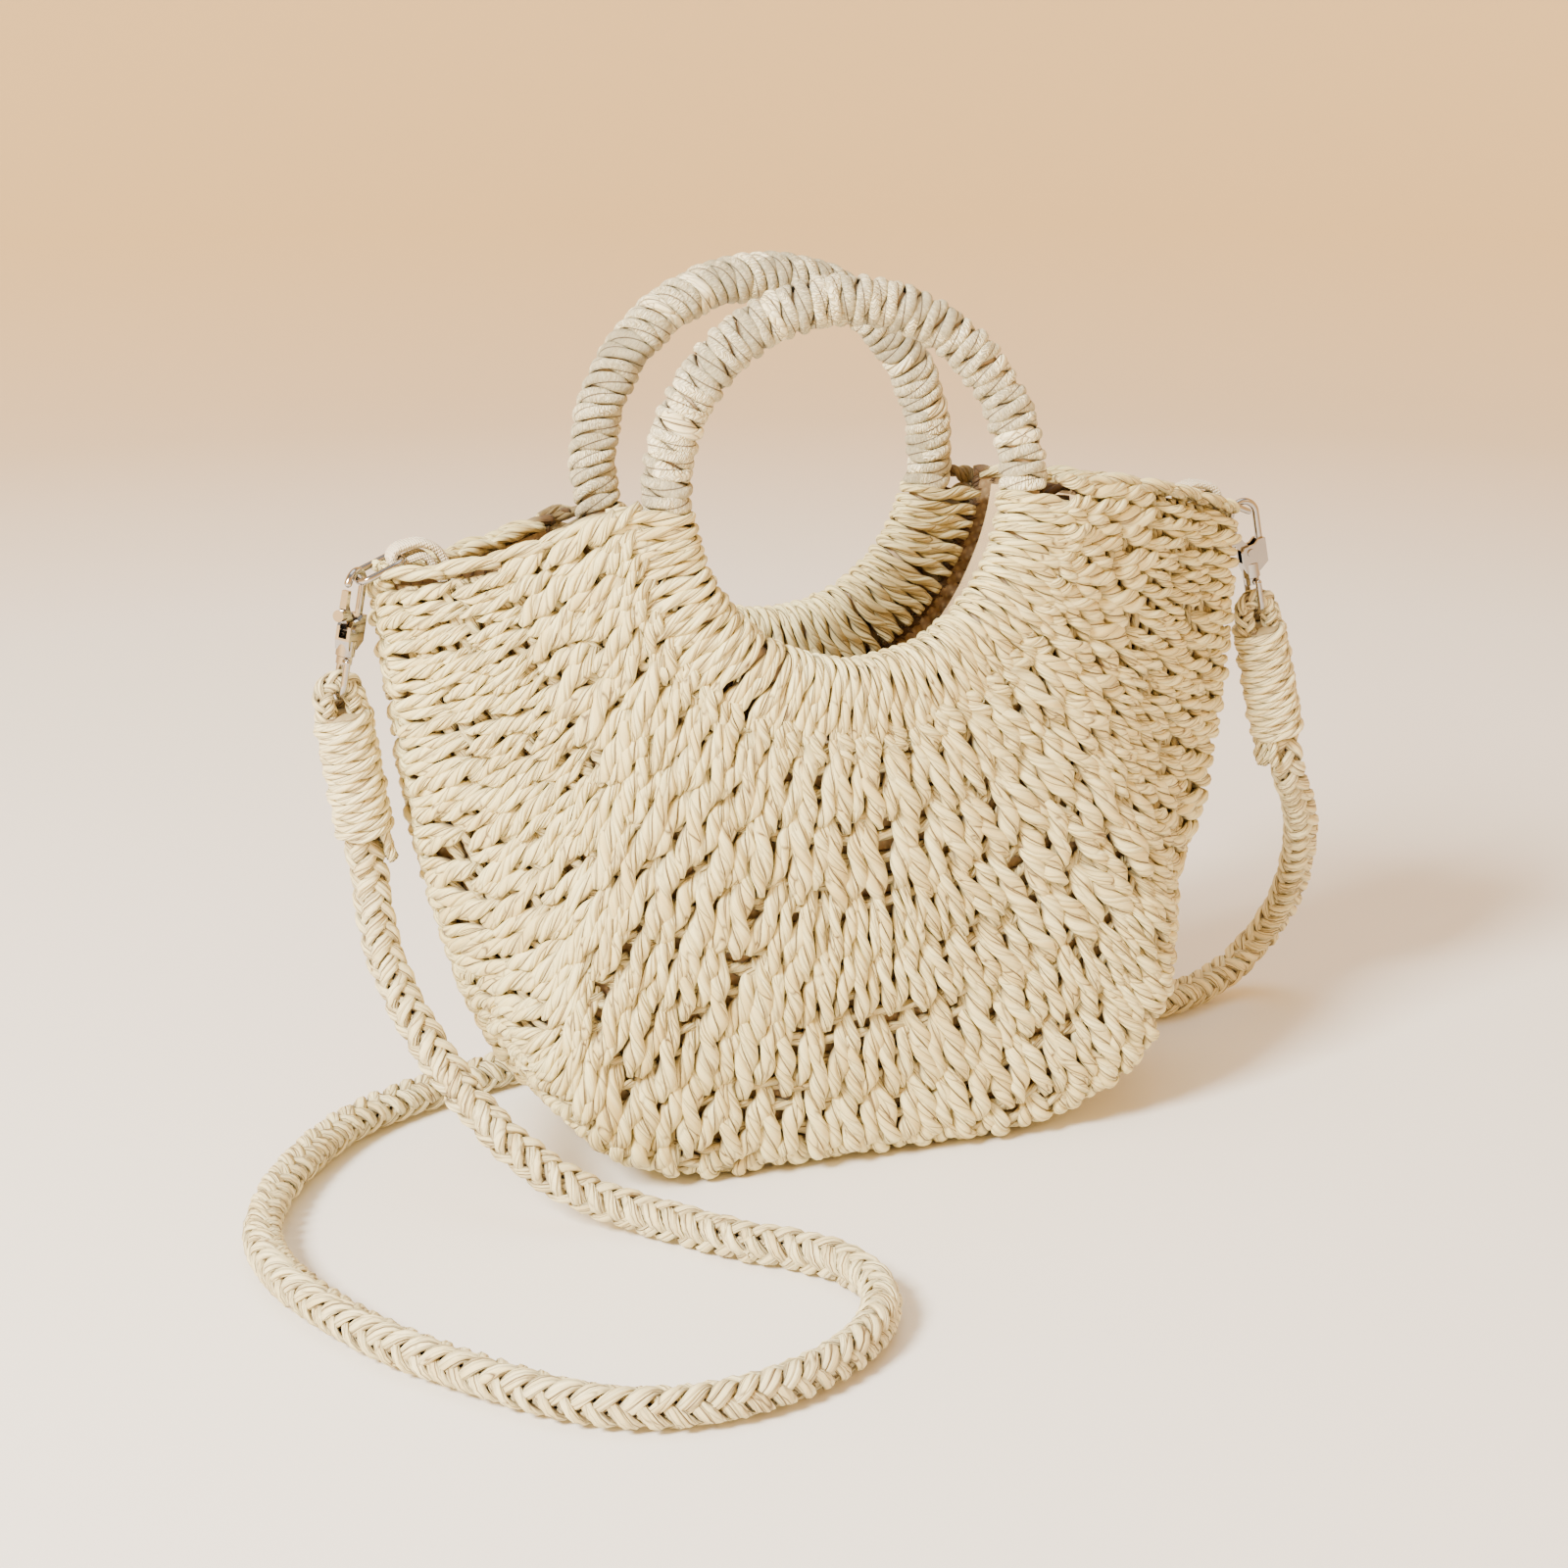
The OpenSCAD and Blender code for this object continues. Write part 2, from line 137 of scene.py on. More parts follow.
# ---- meshes made of many strands ----
PLY_SHARPNESS = 6


class Strands:
    """Collects tubes of twisted rope and makes one object of them."""

    def __init__(self):
        self.points, self.quads, self.quad_uvs = [], [], []
        self.tris, self.tri_uvs = [], []
        self.tone, self.painted_shade = [], []
        self.count = 0

    def add(self, path, across, up, width, thick, twist, tone=0.5, painted_shade=0.0,
            sides=12, groove=0.30, oval=0.14, painted_underside_shade=0.85):
        """Adds one strand (n, 3) or m of them (m, n, 3), whose two plies turn with twist.

        Painted shade darkens a strand: one amount all round it, and a second only on its side turned
        away from up, where strands hide one another.
        """
        if path.ndim == 2:
            path, across, up = path[None], across[None], up[None]
        m, n, _ = path.shape
        grid = np.ones((m, n))
        width, thick, twist, painted_shade = (grid * v for v in (width, thick, twist, painted_shade))
        tone = np.ones(m) * tone
        k = np.arange(sides)
        theta = 2 * np.pi * k / sides
        # two plies side by side, with grooves between them where the sine is 1 and -1
        lobe = 1 + oval * np.cos(2 * theta) - groove * np.abs(np.sin(theta)) ** PLY_SHARPNESS
        angle = theta + twist[..., None]
        ring = (path[:, :, None]
                + across[:, :, None] * (np.cos(angle) * lobe * width[..., None] / 2)[..., None]
                + up[:, :, None] * (np.sin(angle) * lobe * thick[..., None] / 2)[..., None])
        base = self.count + np.arange(m)[:, None, None] * (n * sides + 2)
        i = np.arange(n - 1)[None, :, None]
        a, b = k[None, None], (k + 1)[None, None] % sides
        quads = np.stack([base + i * sides + a, base + i * sides + b,
                          base + (i + 1) * sides + b, base + (i + 1) * sides + a], -1)
        run = run_along(path)
        u0, u1 = k / sides, (k + 1) / sides
        v0 = np.broadcast_to(run[:, :-1, None], (m, n - 1, sides))
        v1 = np.broadcast_to(run[:, 1:, None], (m, n - 1, sides))
        low, high = np.broadcast_to(u0, v0.shape), np.broadcast_to(u1, v0.shape)
        uvs = np.stack([low, v0, high, v0, high, v1, low, v1], -1)
        whole = np.concatenate([ring.reshape(m, n * sides, 3),
                                path[:, :1], path[:, -1:]], 1)
        base = base[:, 0]
        first, last = base + n * sides, base + n * sides + 1
        a, b = k[None], (k + 1)[None] % sides
        tail = (n - 1) * sides
        caps = np.concatenate([
            np.stack([first + 0 * a, base + b, base + a], -1),
            np.stack([last + 0 * a, base + tail + a, base + tail + b], -1)], 1)
        cap_v = np.repeat(np.stack([run[:, 0], run[:, -1]], 1), sides, axis=1)
        cap_u = np.broadcast_to(np.concatenate([u0, u0]), cap_v.shape)
        cap_uvs = np.stack([cap_u, cap_v] * 3, -1)
        self.points.append(whole.reshape(-1, 3))
        self.quads.append(quads.reshape(-1, 4))
        self.quad_uvs.append(uvs.reshape(-1, 8))
        self.tris.append(caps.reshape(-1, 3))
        self.tri_uvs.append(cap_uvs.reshape(-1, 6))
        self.tone.append(np.repeat(tone, n * sides + 2))
        # painted shade: the amount all round, plus more on the side turned away from up
        painted_shade_amount = painted_shade[..., None] + painted_underside_shade * smooth((0.36 - np.sin(angle)) / 0.6)
        painted_shade_amount = np.minimum(painted_shade_amount, 1).reshape(m, n * sides)
        self.painted_shade.append(np.concatenate([painted_shade_amount, painted_shade[:, :1], painted_shade[:, -1:]], 1).reshape(-1))
        self.count += m * (n * sides + 2)

    def make(self, name, material, body=None, replaces=None):
        quads, tris = np.concatenate(self.quads), np.concatenate(self.tris)
        uvs = np.concatenate([np.concatenate(self.quad_uvs).reshape(-1),
                              np.concatenate(self.tri_uvs).reshape(-1)])
        obj = mesh_object(name, np.concatenate(self.points), quads, tris, uvs)
        # the random tone and the painted shade go to the material as point attributes
        for key in ("tone", "painted_shade"):
            values = np.concatenate(getattr(self, key)).astype(np.float32)
            obj.data.attributes.new(key, "FLOAT", "POINT").data.foreach_set("value", values)
        return finished(obj, material, body, replaces)


def mesh_object(name, points, quads, tris=None, uvs=None):
    """An object from arrays of points, quads, triangles and corner UVs."""
    tris = np.zeros((0, 3), int) if tris is None else tris
    corners = np.concatenate([quads.reshape(-1), tris.reshape(-1)])
    sizes = np.concatenate([np.full(len(quads), 4), np.full(len(tris), 3)])
    mesh = bpy.data.meshes.new(name)
    mesh.vertices.add(len(points))
    mesh.vertices.foreach_set("co", points.astype(np.float32).reshape(-1))
    mesh.loops.add(len(corners))
    mesh.loops.foreach_set("vertex_index", corners.astype(np.int32))
    mesh.polygons.add(len(sizes))
    starts = np.concatenate([[0], np.cumsum(sizes)[:-1]])
    mesh.polygons.foreach_set("loop_start", starts.astype(np.int32))
    mesh.polygons.foreach_set("use_smooth", np.ones(len(sizes), bool))
    if uvs is not None:
        mesh.uv_layers.new(name="UVMap").data.foreach_set("uv", uvs.astype(np.float32))
    mesh.update(calc_edges=True)
    mesh.validate()
    obj = bpy.data.objects.new(name, mesh)
    bpy.context.collection.objects.link(obj)
    return obj


def grid_quads(n, m):
    """The quads of a grid of n by m points."""
    index = np.arange(n * m).reshape(n, m)
    return np.stack([index[:-1, :-1], index[1:, :-1], index[1:, 1:], index[:-1, 1:]],
                    -1).reshape(-1, 4)


def finished(obj, material, body=None, replaces=None):
    """Gives a piece its material and slot, the body it rides and the node it replaces."""
    obj.data.materials.append(material)
    if replaces:
        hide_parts(replaces)
    if body:
        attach(obj, body)
    return obj


# ---- materials ----
class Shading:
    """A material, with short ways to add and link its nodes."""

    def __init__(self, name):
        self.material = bpy.data.materials.new(name)
        self.material.use_nodes = True
        self.tree = self.material.node_tree
        self.shader = self.tree.nodes["Principled BSDF"]

    def put(self, value, target):
        """Links an output to an input, or sets the input to a number, vector or colour."""
        if isinstance(value, bpy.types.NodeSocket):
            self.tree.links.new(value, target)
        else:
            target.default_value = (*value, 1) if target.type == "RGBA" else value

    def node(self, kind, inputs=(), **settings):
        """A new node. Its inputs are given in order, or by name."""
        node = self.tree.nodes.new(kind)
        for key, value in settings.items():
            setattr(node, key, value)
        for key, value in inputs.items() if isinstance(inputs, dict) else enumerate(inputs):
            self.put(value, node.inputs[key])
        return node

    def where(self):
        return self.node("ShaderNodeTexCoord").outputs["Object"]

    def maths(self, operation, *values):
        return self.node("ShaderNodeMath", values, operation=operation).outputs[0]

    def ranged(self, value, low, high, to_low, to_high):
        return self.node("ShaderNodeMapRange", (value, low, high, to_low, to_high)).outputs[0]

    def mixed(self, factor, first, second, blend="MIX"):
        inputs = {"Factor": factor, 6: first, 7: second}
        return self.node("ShaderNodeMix", inputs, data_type="RGBA", blend_type=blend).outputs[2]

    def noise(self, where, scale, detail):
        inputs = {"Vector": where, "Scale": scale, "Detail": detail}
        return self.node("ShaderNodeTexNoise", inputs).outputs["Fac"]

    def ramp(self, value, stops):
        """A colour ramp through (position, colour) stops."""
        node = self.node("ShaderNodeValToRGB", (value,))
        elements = node.color_ramp.elements
        while len(elements) < len(stops):
            elements.new(0.5)
        for element, (position, colour) in zip(elements, stops):
            element.position, element.color = position, (*colour, 1)
        return node.outputs[0]

    def bump(self, height, strength, distance):
        inputs = {"Strength": strength, "Distance": distance, "Height": height}
        self.put(self.node("ShaderNodeBump", inputs).outputs[0], self.shader.inputs["Normal"])

    def finish(self, **values):
        """Sets the shader's inputs, such as Base_Color, and returns the material."""
        for key, value in values.items():
            self.put(value, self.shader.inputs[key.replace("_", " ")])
        return self.material


def straw(name, pale, warm, painted_shade_colour):
    """Twisted paper rope: folded facets, fine fibres, and painted shade in creases, grooves and
    where strands hide one another.
    """
    shading = Shading(name)
    node, maths, ranged, mixed = shading.node, shading.maths, shading.ranged, shading.mixed
    uv = node("ShaderNodeUVMap", uv_map="UVMap").outputs[0]
    tone, painted_shade = (node("ShaderNodeAttribute", attribute_name=key).outputs["Fac"]
                  for key in ("tone", "painted_shade"))
    share, length = node("ShaderNodeSeparateXYZ", (uv,)).outputs[:2]
    around = maths("MULTIPLY", share, 2 * math.pi)
    cosine, sine = maths("COSINE", around), maths("SINE", around)
    # (cos, sin, length) has no seam, and the tone shifts it so that strands differ
    run = maths("MULTIPLY_ADD", tone, 9.0, length)
    place = node("ShaderNodeCombineXYZ", (cosine, sine, run)).outputs[0]

    def stretched(around_scale, along_scale):
        scale = (around_scale, around_scale, along_scale)
        return node("ShaderNodeVectorMath", (place, scale), operation="MULTIPLY").outputs[0]

    folds = {"Vector": stretched(0.95, 60), "Scale": 1.0}
    fold = node("ShaderNodeTexVoronoi", folds, feature="DISTANCE_TO_EDGE").outputs["Distance"]
    mottle = shading.noise(stretched(0.9, 45), 1.0, 2)
    fibre = shading.noise(stretched(9.0, 130), 1.0, 4)
    colour = mixed(ranged(mottle, 0.35, 0.62, 0.0, 1.0), warm, pale)
    colour = mixed(ranged(fibre, 0.36, 0.52, 0.45, 0.0), colour, tuple(c * 0.8 for c in warm))
    shade = shading.ramp(tone, [(0.0, (0.84, 0.79, 0.70)), (0.5, (0.95, 0.94, 0.92)),
                                (1.0, (1, 1, 1))])
    colour = mixed(1.0, colour, shade, "MULTIPLY")
    # painted shade along the folds of the paper
    painted_crease_shade = maths("MULTIPLY", ranged(fold, 0.0, 0.05, 1.0, 0.0),
                   ranged(mottle, 0.4, 0.6, 1.0, 0.35))
    # the two grooves between the plies, at a quarter and three quarters round, get painted shade
    groove = maths("MULTIPLY_ADD", fibre, -0.25, maths("ABSOLUTE", cosine))
    groove = ranged(groove, -0.10, 0.08, 1.0, 0.0)
    # painted shade: the strongest of the folds, the grooves and the strand's own painted shade,
    # mixed towards the shade colour
    dark = maths("MAXIMUM", maths("MAXIMUM", painted_crease_shade, groove), painted_shade)
    height = maths("MULTIPLY_ADD", fibre, 0.30, ranged(fold, 0.0, 0.22, 0.0, 1.0))
    shading.bump(height, 0.9, 0.0006)
    return shading.finish(Base_Color=mixed(dark, colour, painted_shade_colour), Roughness=0.58,
                          Specular_IOR_Level=0.35, Sheen_Weight=0.05)


def weave(name, light, dark, fineness, bump=0.4):
    """Woven cloth, from the position in space. It has about fineness / 2 threads a metre."""
    shading = Shading(name)
    turned = shading.node("ShaderNodeMapping", {
        "Vector": shading.where(), "Rotation": (0.6, 0.25, 0.1)}).outputs[0]
    wave = {"Vector": turned, "Scale": fineness / 6.28, "Distortion": 0.6}
    both = shading.maths("MULTIPLY", *(
        shading.node("ShaderNodeTexWave", wave, bands_direction=way).outputs["Fac"]
        for way in ("X", "Z")))
    shade = shading.maths("MULTIPLY_ADD", both, 0.55, shading.noise(turned, 60, 4))
    shading.bump(both, bump, 0.0004)
    return shading.finish(Base_Color=shading.ramp(shade, [(0.30, dark), (0.85, light)]),
                          Roughness=0.85, Sheen_Weight=0.15)


def metal(name, colour, roughness):
    """Plated metal, unevenly polished, with fine handling marks."""
    shading = Shading(name)
    where = shading.where()
    rough = shading.ranged(shading.noise(where, 220, 5), 0, 1, roughness, roughness + 0.14)
    shading.bump(shading.noise(where, 900, 2), 0.06, 0.0001)
    return shading.finish(Base_Color=colour, Roughness=rough, Metallic=1.0)


# ---- strap route, as in the part: middle of the cord, in metres ----
STRAP_ROUTE = [
    (-0.158, 0, 0.1173), (-0.156, 0, 0.104), (-0.155, -0.008, 0.084),
    (-0.150, -0.020, 0.065), (-0.141, -0.037, 0.047), (-0.129, -0.053, 0.031),
    (-0.114, -0.064, 0.018), (-0.098, -0.072, 0.010), (-0.081, -0.087, 0.007),
    (-0.066, -0.106, 0.007), (-0.051, -0.120, 0.007), (-0.041, -0.136, 0.007),
    (-0.040, -0.156, 0.007), (-0.050, -0.176, 0.007), (-0.068, -0.191, 0.007),
    (-0.092, -0.201, 0.007), (-0.116, -0.202, 0.007), (-0.138, -0.193, 0.007),
    (-0.160, -0.171, 0.007), (-0.185, -0.134, 0.007), (-0.202, -0.093, 0.007),
    (-0.206, -0.058, 0.007), (-0.199, -0.028, 0.007), (-0.183, 0.002, 0.007),
    (-0.159, 0.030, 0.007), (-0.128, 0.048, 0.007), (-0.093, 0.061, 0.007),
    (-0.050, 0.071, 0.007), (0, 0.075, 0.007), (0.050, 0.071, 0.007),
    (0.095, 0.056, 0.007), (0.125, 0.043, 0.007), (0.153, 0.039, 0.007),
    (0.180, 0.050, 0.0085), (0.197, 0.053, 0.019), (0.203, 0.043, 0.038),
    (0.200, 0.028, 0.060), (0.191, 0.011, 0.084), (0.1785, 0, 0.106),
    (0.1755, 0, 0.1185)]
STRAP_D = 13 * MM

# ---- the bag's shape, as in the part ----
BAG_W, CORNER_H, FOOT_Y, FOLD_R = 300 * MM, 202 * MM, 52 * MM, 13 * MM
RING_R, RING_X, RING_Y, RING_Z = 60.5 * MM, -6 * MM, 40 * MM, 226 * MM
GRIP_R, BAND_R, PANEL_OUT, COLLAR_GAP = 7.8 * MM, 81 * MM, 5 * MM, 0.8 * MM
LEAN = {FRONT: 7.5, BACK: -4.5}
RING_DROP = {FRONT: 0, BACK: 2 * MM}
FOOT_ANGLE = {FRONT: 2, BACK: 13}
FAN = {FRONT: (1.088, 1.088), BACK: (0.95, 1)}
CREST = {FRONT: (0, 13 * MM), BACK: (-8 * MM, 7 * MM)}
EDGE_POWER, TAPER, BASE_FLAT = (2 / 4, 2 / 3.5), (0.15, 0.07), 2 * MM
EDGE_END_Y, EDGE_FOOT_Y = 9 * MM, 2.3 * MM


def on_ring(side, rho, angle, out):
    """A point at radius rho and angle of a ring's plane, out from that plane."""
    tilt, angle = math.radians(LEAN[side]), np.radians(angle)
    up = rho * np.sin(angle)
    return np.stack(np.broadcast_arrays(
        RING_X + rho * np.cos(angle),
        side * (RING_Y + out * math.cos(tilt) - up * math.sin(tilt)),
        RING_Z - RING_DROP[side] + up * math.cos(tilt) + out * math.sin(tilt)), -1)


def edge(u):
    """The bag's outline, seen from the front, as (x, z)."""
    angle = np.pi + np.pi / 2 * (1 - np.cos(np.pi * u))
    c, s = np.cos(angle), np.sin(angle)
    half = (c > 0).astype(int)
    power, taper = np.array(EDGE_POWER)[half], np.array(TAPER)[half]
    drop = np.abs(signed_power(s, power))
    return np.stack([BAG_W / 2 * signed_power(c, power) * (1 - taper * drop),
                     np.maximum(0, CORNER_H * (1 - drop) - BASE_FLAT * drop)], -1)


def edge_out(u):
    d = unit(edge(np.clip(u + 0.01, 0, 1)) - edge(np.clip(u - 0.01, 0, 1)))
    return np.stack([d[..., 1], -d[..., 0]], -1)


def column(side, u):
    """The five points that shape a column, from the ring to the edge."""
    foot = edge(u)
    boxy = smooth((150 * MM - foot[..., 1]) / (140 * MM))
    from_x = foot[..., 0] - RING_X
    from_z = foot[..., 1] - (RING_Z - RING_DROP[side])
    half = (from_x > 0).astype(int)
    angle = 270 + np.degrees(np.arctan2(from_x, -from_z)) * np.array(FAN[side])[half]
    start = on_ring(side, BAND_R + COLLAR_GAP, angle, PANEL_OUT)
    end_y = lerp(EDGE_END_Y, EDGE_FOOT_Y, boxy)
    end = np.stack([foot[..., 0], side * end_y, foot[..., 1]], -1)
    run = np.hypot(start[..., 0] - foot[..., 0], start[..., 2] - foot[..., 1])
    pulled = foot - edge_out(u) * (0.42 * run * (1 - boxy))[..., None]
    corner_y = lerp(lerp(end_y, np.abs(start[..., 1]), 0.62), FOOT_Y, boxy)
    corner = np.stack([pulled[..., 0], side * corner_y,
                       pulled[..., 1] + np.array(CREST[side])[half] * (1 - boxy)], -1)

    def cut(other):
        reach = np.minimum(1, FOLD_R / length_of(corner - other))
        return corner + (other - corner) * lerp(1, reach, boxy)[..., None]

    return np.stack([start, cut(start), corner, cut(end), end], -2)


class Surface:
    """One side's outer surface by u, along the edge, and distance from the ring."""
    ACROSS, DOWN = 361, 241
    EDGE_TURN = 5 * MM

    def __init__(self, side):
        self.side = side
        u = np.linspace(0, 1, self.ACROSS)
        c = column(side, u)
        k = np.linspace(0, 1, 60)[None, :, None]
        a, b, m, d, e = (c[:, i][:, None] for i in range(5))
        first, last = lerp(a, b, k), lerp(d, e, k)
        bend = lerp(lerp(b, m, k), lerp(m, d, k), k)
        path = np.concatenate([first, bend[:, 1:], last[:, 1:]], 1)
        run = run_along(path)
        self.length = run[:, -1]
        share = np.linspace(0, 1, self.DOWN)
        self.grid = np.stack([
            np.stack([np.interp(share * r[-1], r, p[:, i]) for i in range(3)], -1)
            for r, p in zip(run, path)])
        across = unit(np.gradient(self.grid, axis=0))
        down = unit(np.gradient(self.grid, axis=1))
        normal = unit(np.cross(across, down)) * side
        self.fields = np.concatenate([self.grid, across, down, normal], -1)

    def length_at(self, u):
        return np.interp(u, np.linspace(0, 1, self.ACROSS), self.length)

    def at(self, u, distance):
        """Points, and the directions across, down and out, at u and a distance."""
        u, distance = np.broadcast_arrays(np.asarray(u, float), np.asarray(distance, float))
        u = np.clip(u, 0, 1)
        length = self.length_at(u)
        over = np.maximum(distance - length, 0)[..., None]
        i, j = u * (self.ACROSS - 1), np.clip(distance / length, 0, 1) * (self.DOWN - 1)
        i0 = np.minimum(i.astype(int), self.ACROSS - 2)
        j0 = np.minimum(j.astype(int), self.DOWN - 2)
        fi, fj = (i - i0)[..., None], (j - j0)[..., None]
        f = self.fields
        value = lerp(lerp(f[i0, j0], f[i0, j0 + 1], fj),
                     lerp(f[i0 + 1, j0], f[i0 + 1, j0 + 1], fj), fi)
        point, across, down, out = (value[..., n:n + 3] for n in (0, 3, 6, 9))
        across, down, out = unit(across), unit(down), unit(out)
        # past the edge the surface turns in, round a small radius
        turn = over / self.EDGE_TURN
        point = point + self.EDGE_TURN * (down * np.sin(turn) - out * (1 - np.cos(turn)))
        down, out = (down * np.cos(turn) - out * np.sin(turn),
                     out * np.cos(turn) + down * np.sin(turn))
        return point, across, down, out


SURFACES = {side: Surface(side) for side in (FRONT, BACK)}
SIDE_NAME = {FRONT: "front", BACK: "back"}

# ---- stitches: V shapes in columns that run out from the ring ----
# Spacing of rows down a column, and of columns, on the shortest and the longest columns
ROW_SHORT, ROW_LONG = 17 * MM, 23 * MM
PITCH_SHORT, PITCH_LONG = 10.6 * MM, 12.2 * MM
FIRST_PITCH, WIDEST = 9.8 * MM, 1.36
# A leg's width as a share of the column spacing, its thickness, and its steps along
LEG_W, LEG_T, LEG_RINGS = 0.53, 4.6 * MM, 15


def by_length(surface, u, short, long):
    """A size that goes from short to long as the columns get longer."""
    return lerp(short, long, smooth((surface.length_at(u) - 75 * MM) / (90 * MM)))


def row_pitch(surface, u):
    return by_length(surface, u, ROW_SHORT, ROW_LONG)


def gaps(surface, u, distance):
    return length_of(np.diff(surface.at(u, distance)[0], axis=0))


def relaxed(surface, u, distance, strength, passes):
    """Evens out the gaps between columns; the outer two stay."""
    u = u.copy()
    for _ in range(passes):
        g = gaps(surface, u, distance(u))
        slope = np.diff(u) / np.maximum(g, 1e-6)
        push = (g[1:] - g[:-1]) / 2
        u[1:-1] += strength * push * (slope[1:] + slope[:-1]) / 2
    return u


def stitch_rows(surface):
    """For each row, every column's u at its top and at its foot.

    A column is added wherever two of them have spread too far apart.
    """
    fine = np.linspace(0, 1, 1201)
    start = np.full_like(fine, 2 * MM)
    run = np.concatenate([[0], np.cumsum(gaps(surface, fine, start))])
    count = int(round(run[-1] / FIRST_PITCH))
    margin = 0.42 * run[-1] / count
    u = np.interp(np.linspace(margin, run[-1] - margin, count), run, fine)
    rows, row = [], 0
    most = max(surface.length_at(fine) / row_pitch(surface, fine))
    while row < most:
        def foot(at):
            return np.minimum((row + 1) * row_pitch(surface, at), surface.length_at(at) - 1 * MM)
        while True:
            g = gaps(surface, u, foot(u))
            middle = (u[1:] + u[:-1]) / 2
            live = (row + 0.6) * row_pitch(surface, middle) < surface.length_at(middle)
            over = g / by_length(surface, middle, PITCH_SHORT, PITCH_LONG) * live
            if over.max() < WIDEST:
                break
            u = np.insert(u, over.argmax() + 1, middle[over.argmax()])
        top = u
        u = relaxed(surface, u, foot, 0.5, 5)
        rows.append((top, u))
        row += 1
    return rows


def local_pitch(surface, u, distance):
    g = gaps(surface, u, distance)
    return np.concatenate([[g[0]], (g[1:] + g[:-1]) / 2, [g[-1]]])


def add_legs(strands, surface, row, tops, feet, side_sign, rng):
    """One row of legs: "\\" legs for side_sign -1, and "/" legs for +1."""
    pitch_top = local_pitch(surface, tops, row * row_pitch(surface, tops) + 2 * MM)
    rp = row_pitch(surface, feet)
    length = surface.length_at(feet)
    begin = row * rp
    end = begin + rp * (1.26 if side_sign < 0 else 1.14)
    low = smooth((60 * MM - surface.at(feet, length)[0][:, 2]) / (40 * MM))
    past = lerp(6.5 * MM, -1.5 * MM, low)
    last = begin + 1.35 * rp > length
    end = np.where(last, length + past, np.minimum(end, length + past))
    keep = (end - begin > 0.45 * rp) & (begin < length - 0.3 * rp)
    pitch_foot = local_pitch(surface, feet, end)
    tops, feet, begin, end, rp, length, pitch_top, pitch_foot = (
        v[keep] for v in (tops, feet, begin, end, rp, length, pitch_top, pitch_foot))
    pitch_top = np.minimum(pitch_top, pitch_foot * 1.15)
    m = len(tops)
    k = np.linspace(0, 1, LEG_RINGS)[None]
    stagger = 3.2 * MM * np.sin(feet * 61 + row * 1.9) * (row > 0)
    begin = begin - (4.0 if side_sign < 0 else 2.5) * MM + stagger + rng.normal(0, 1.0 * MM, m)
    begin = np.maximum(begin, -12 * MM)
    end = end + (stagger + rng.normal(0, 1.2 * MM, m)) * (end < length - 4 * MM)
    distance = lerp(begin[:, None], end[:, None], k)
    u = lerp(tops[:, None], feet[:, None], smooth(k))
    top_x, foot_x = (-0.44, -0.04) if side_sign < 0 else (0.40, 0.20)
    top_x = (top_x + rng.normal(0, 0.05, m)) * pitch_top
    foot_x = (foot_x + rng.normal(0, 0.05, m)) * pitch_foot
    bow = rng.normal(0.3, 0.5, m)[:, None] * MM * side_sign * np.sin(np.pi * k)
    offset = lerp(top_x[:, None], foot_x[:, None], k ** 1.15) + bow
    point, across, down, out = surface.at(u, np.maximum(distance, 0.2 * MM))
    under = smooth(-out[..., 2] * 1.4 - 0.2)
    crest = rng.normal(0, 0.35, m)[:, None] + (0.35 if side_sign < 0 else -0.1)
    height = (-1.6 + crest
              - (2.4 if row else 1.2) * (1 - smooth(k / 0.42)) - 0.9 * smooth((k - 0.78) / 0.22) ** 2
              - 1.4 * under) * MM
    path = point + across * offset[..., None] + out * height[..., None]
    path += down * np.minimum(distance - 0.2 * MM, 0)[..., None]
    thin = 0.45 if row else 0.12
    fat = 1 - thin * (1 - smooth(k / 0.45)) - 0.55 * smooth((k - 0.72) / 0.28) ** 1.8
    wide = rng.normal(1, 0.05, m)[:, None] * LEG_W * lerp(pitch_top, pitch_foot, 0.7)[:, None]
    slim = np.clip((end - begin) / rp, 0.6, 1)[:, None]
    twist = (rng.uniform(0, 2 * np.pi, m)[:, None]
             - rng.normal(1.15, 0.15, m)[:, None] * 2 * np.pi * k)
    tone = np.clip(rng.normal(0.62, 0.2, m), 0, 1)
    # painted shade at the leg's top, where it goes in under the row above
    painted_shade = (1 - smooth(k / 0.26)) * 0.5
    along = unit(np.gradient(path, axis=1))
    side_way = unit(np.cross(out, along)) * np.sign(
        (np.cross(out, along) * across).sum(-1, keepdims=True))
    strands.add(path, side_way, out, wide * fat, LEG_T * fat * slim, twist, tone, painted_shade)


def add_row_cords(strands, surface, rows, rng):
    """Three cords behind each row, seen deep between the columns."""
    for row, (_, feet) in enumerate(rows):
        for shift in (-0.02, 0.30, 0.64):
            u = np.linspace(0.004, 0.996, 420)
            distance = (row + shift) * row_pitch(surface, u)
            inside = distance < surface.length_at(u) - 4 * MM
            if inside.sum() < 20:
                continue
            cuts = np.flatnonzero(np.diff(inside.astype(int))) + 1
            for part, live in zip(np.split(u, cuts), np.split(inside, cuts)):
                if not live[0] or len(part) < 12:
                    continue
                distance = (row + shift) * row_pitch(surface, part)
                point, _, down, out = surface.at(part, distance)
                wave = np.sin(np.arange(len(part)) * 0.9 + row)[:, None]
                path = point - out * (3.9 * MM) + down * wave * 0.3 * MM
                # the cords get painted shade all along
                strands.add(path, down, out, 5.0 * MM, 3.8 * MM,
                            np.arange(len(part)) * 0.35, rng.uniform(0.2, 0.6), 0.35, sides=8)


# depth of the dark sheet behind the stitches, which is painted shade
SHADE_SHEET_DEPTH = 5.6 * MM


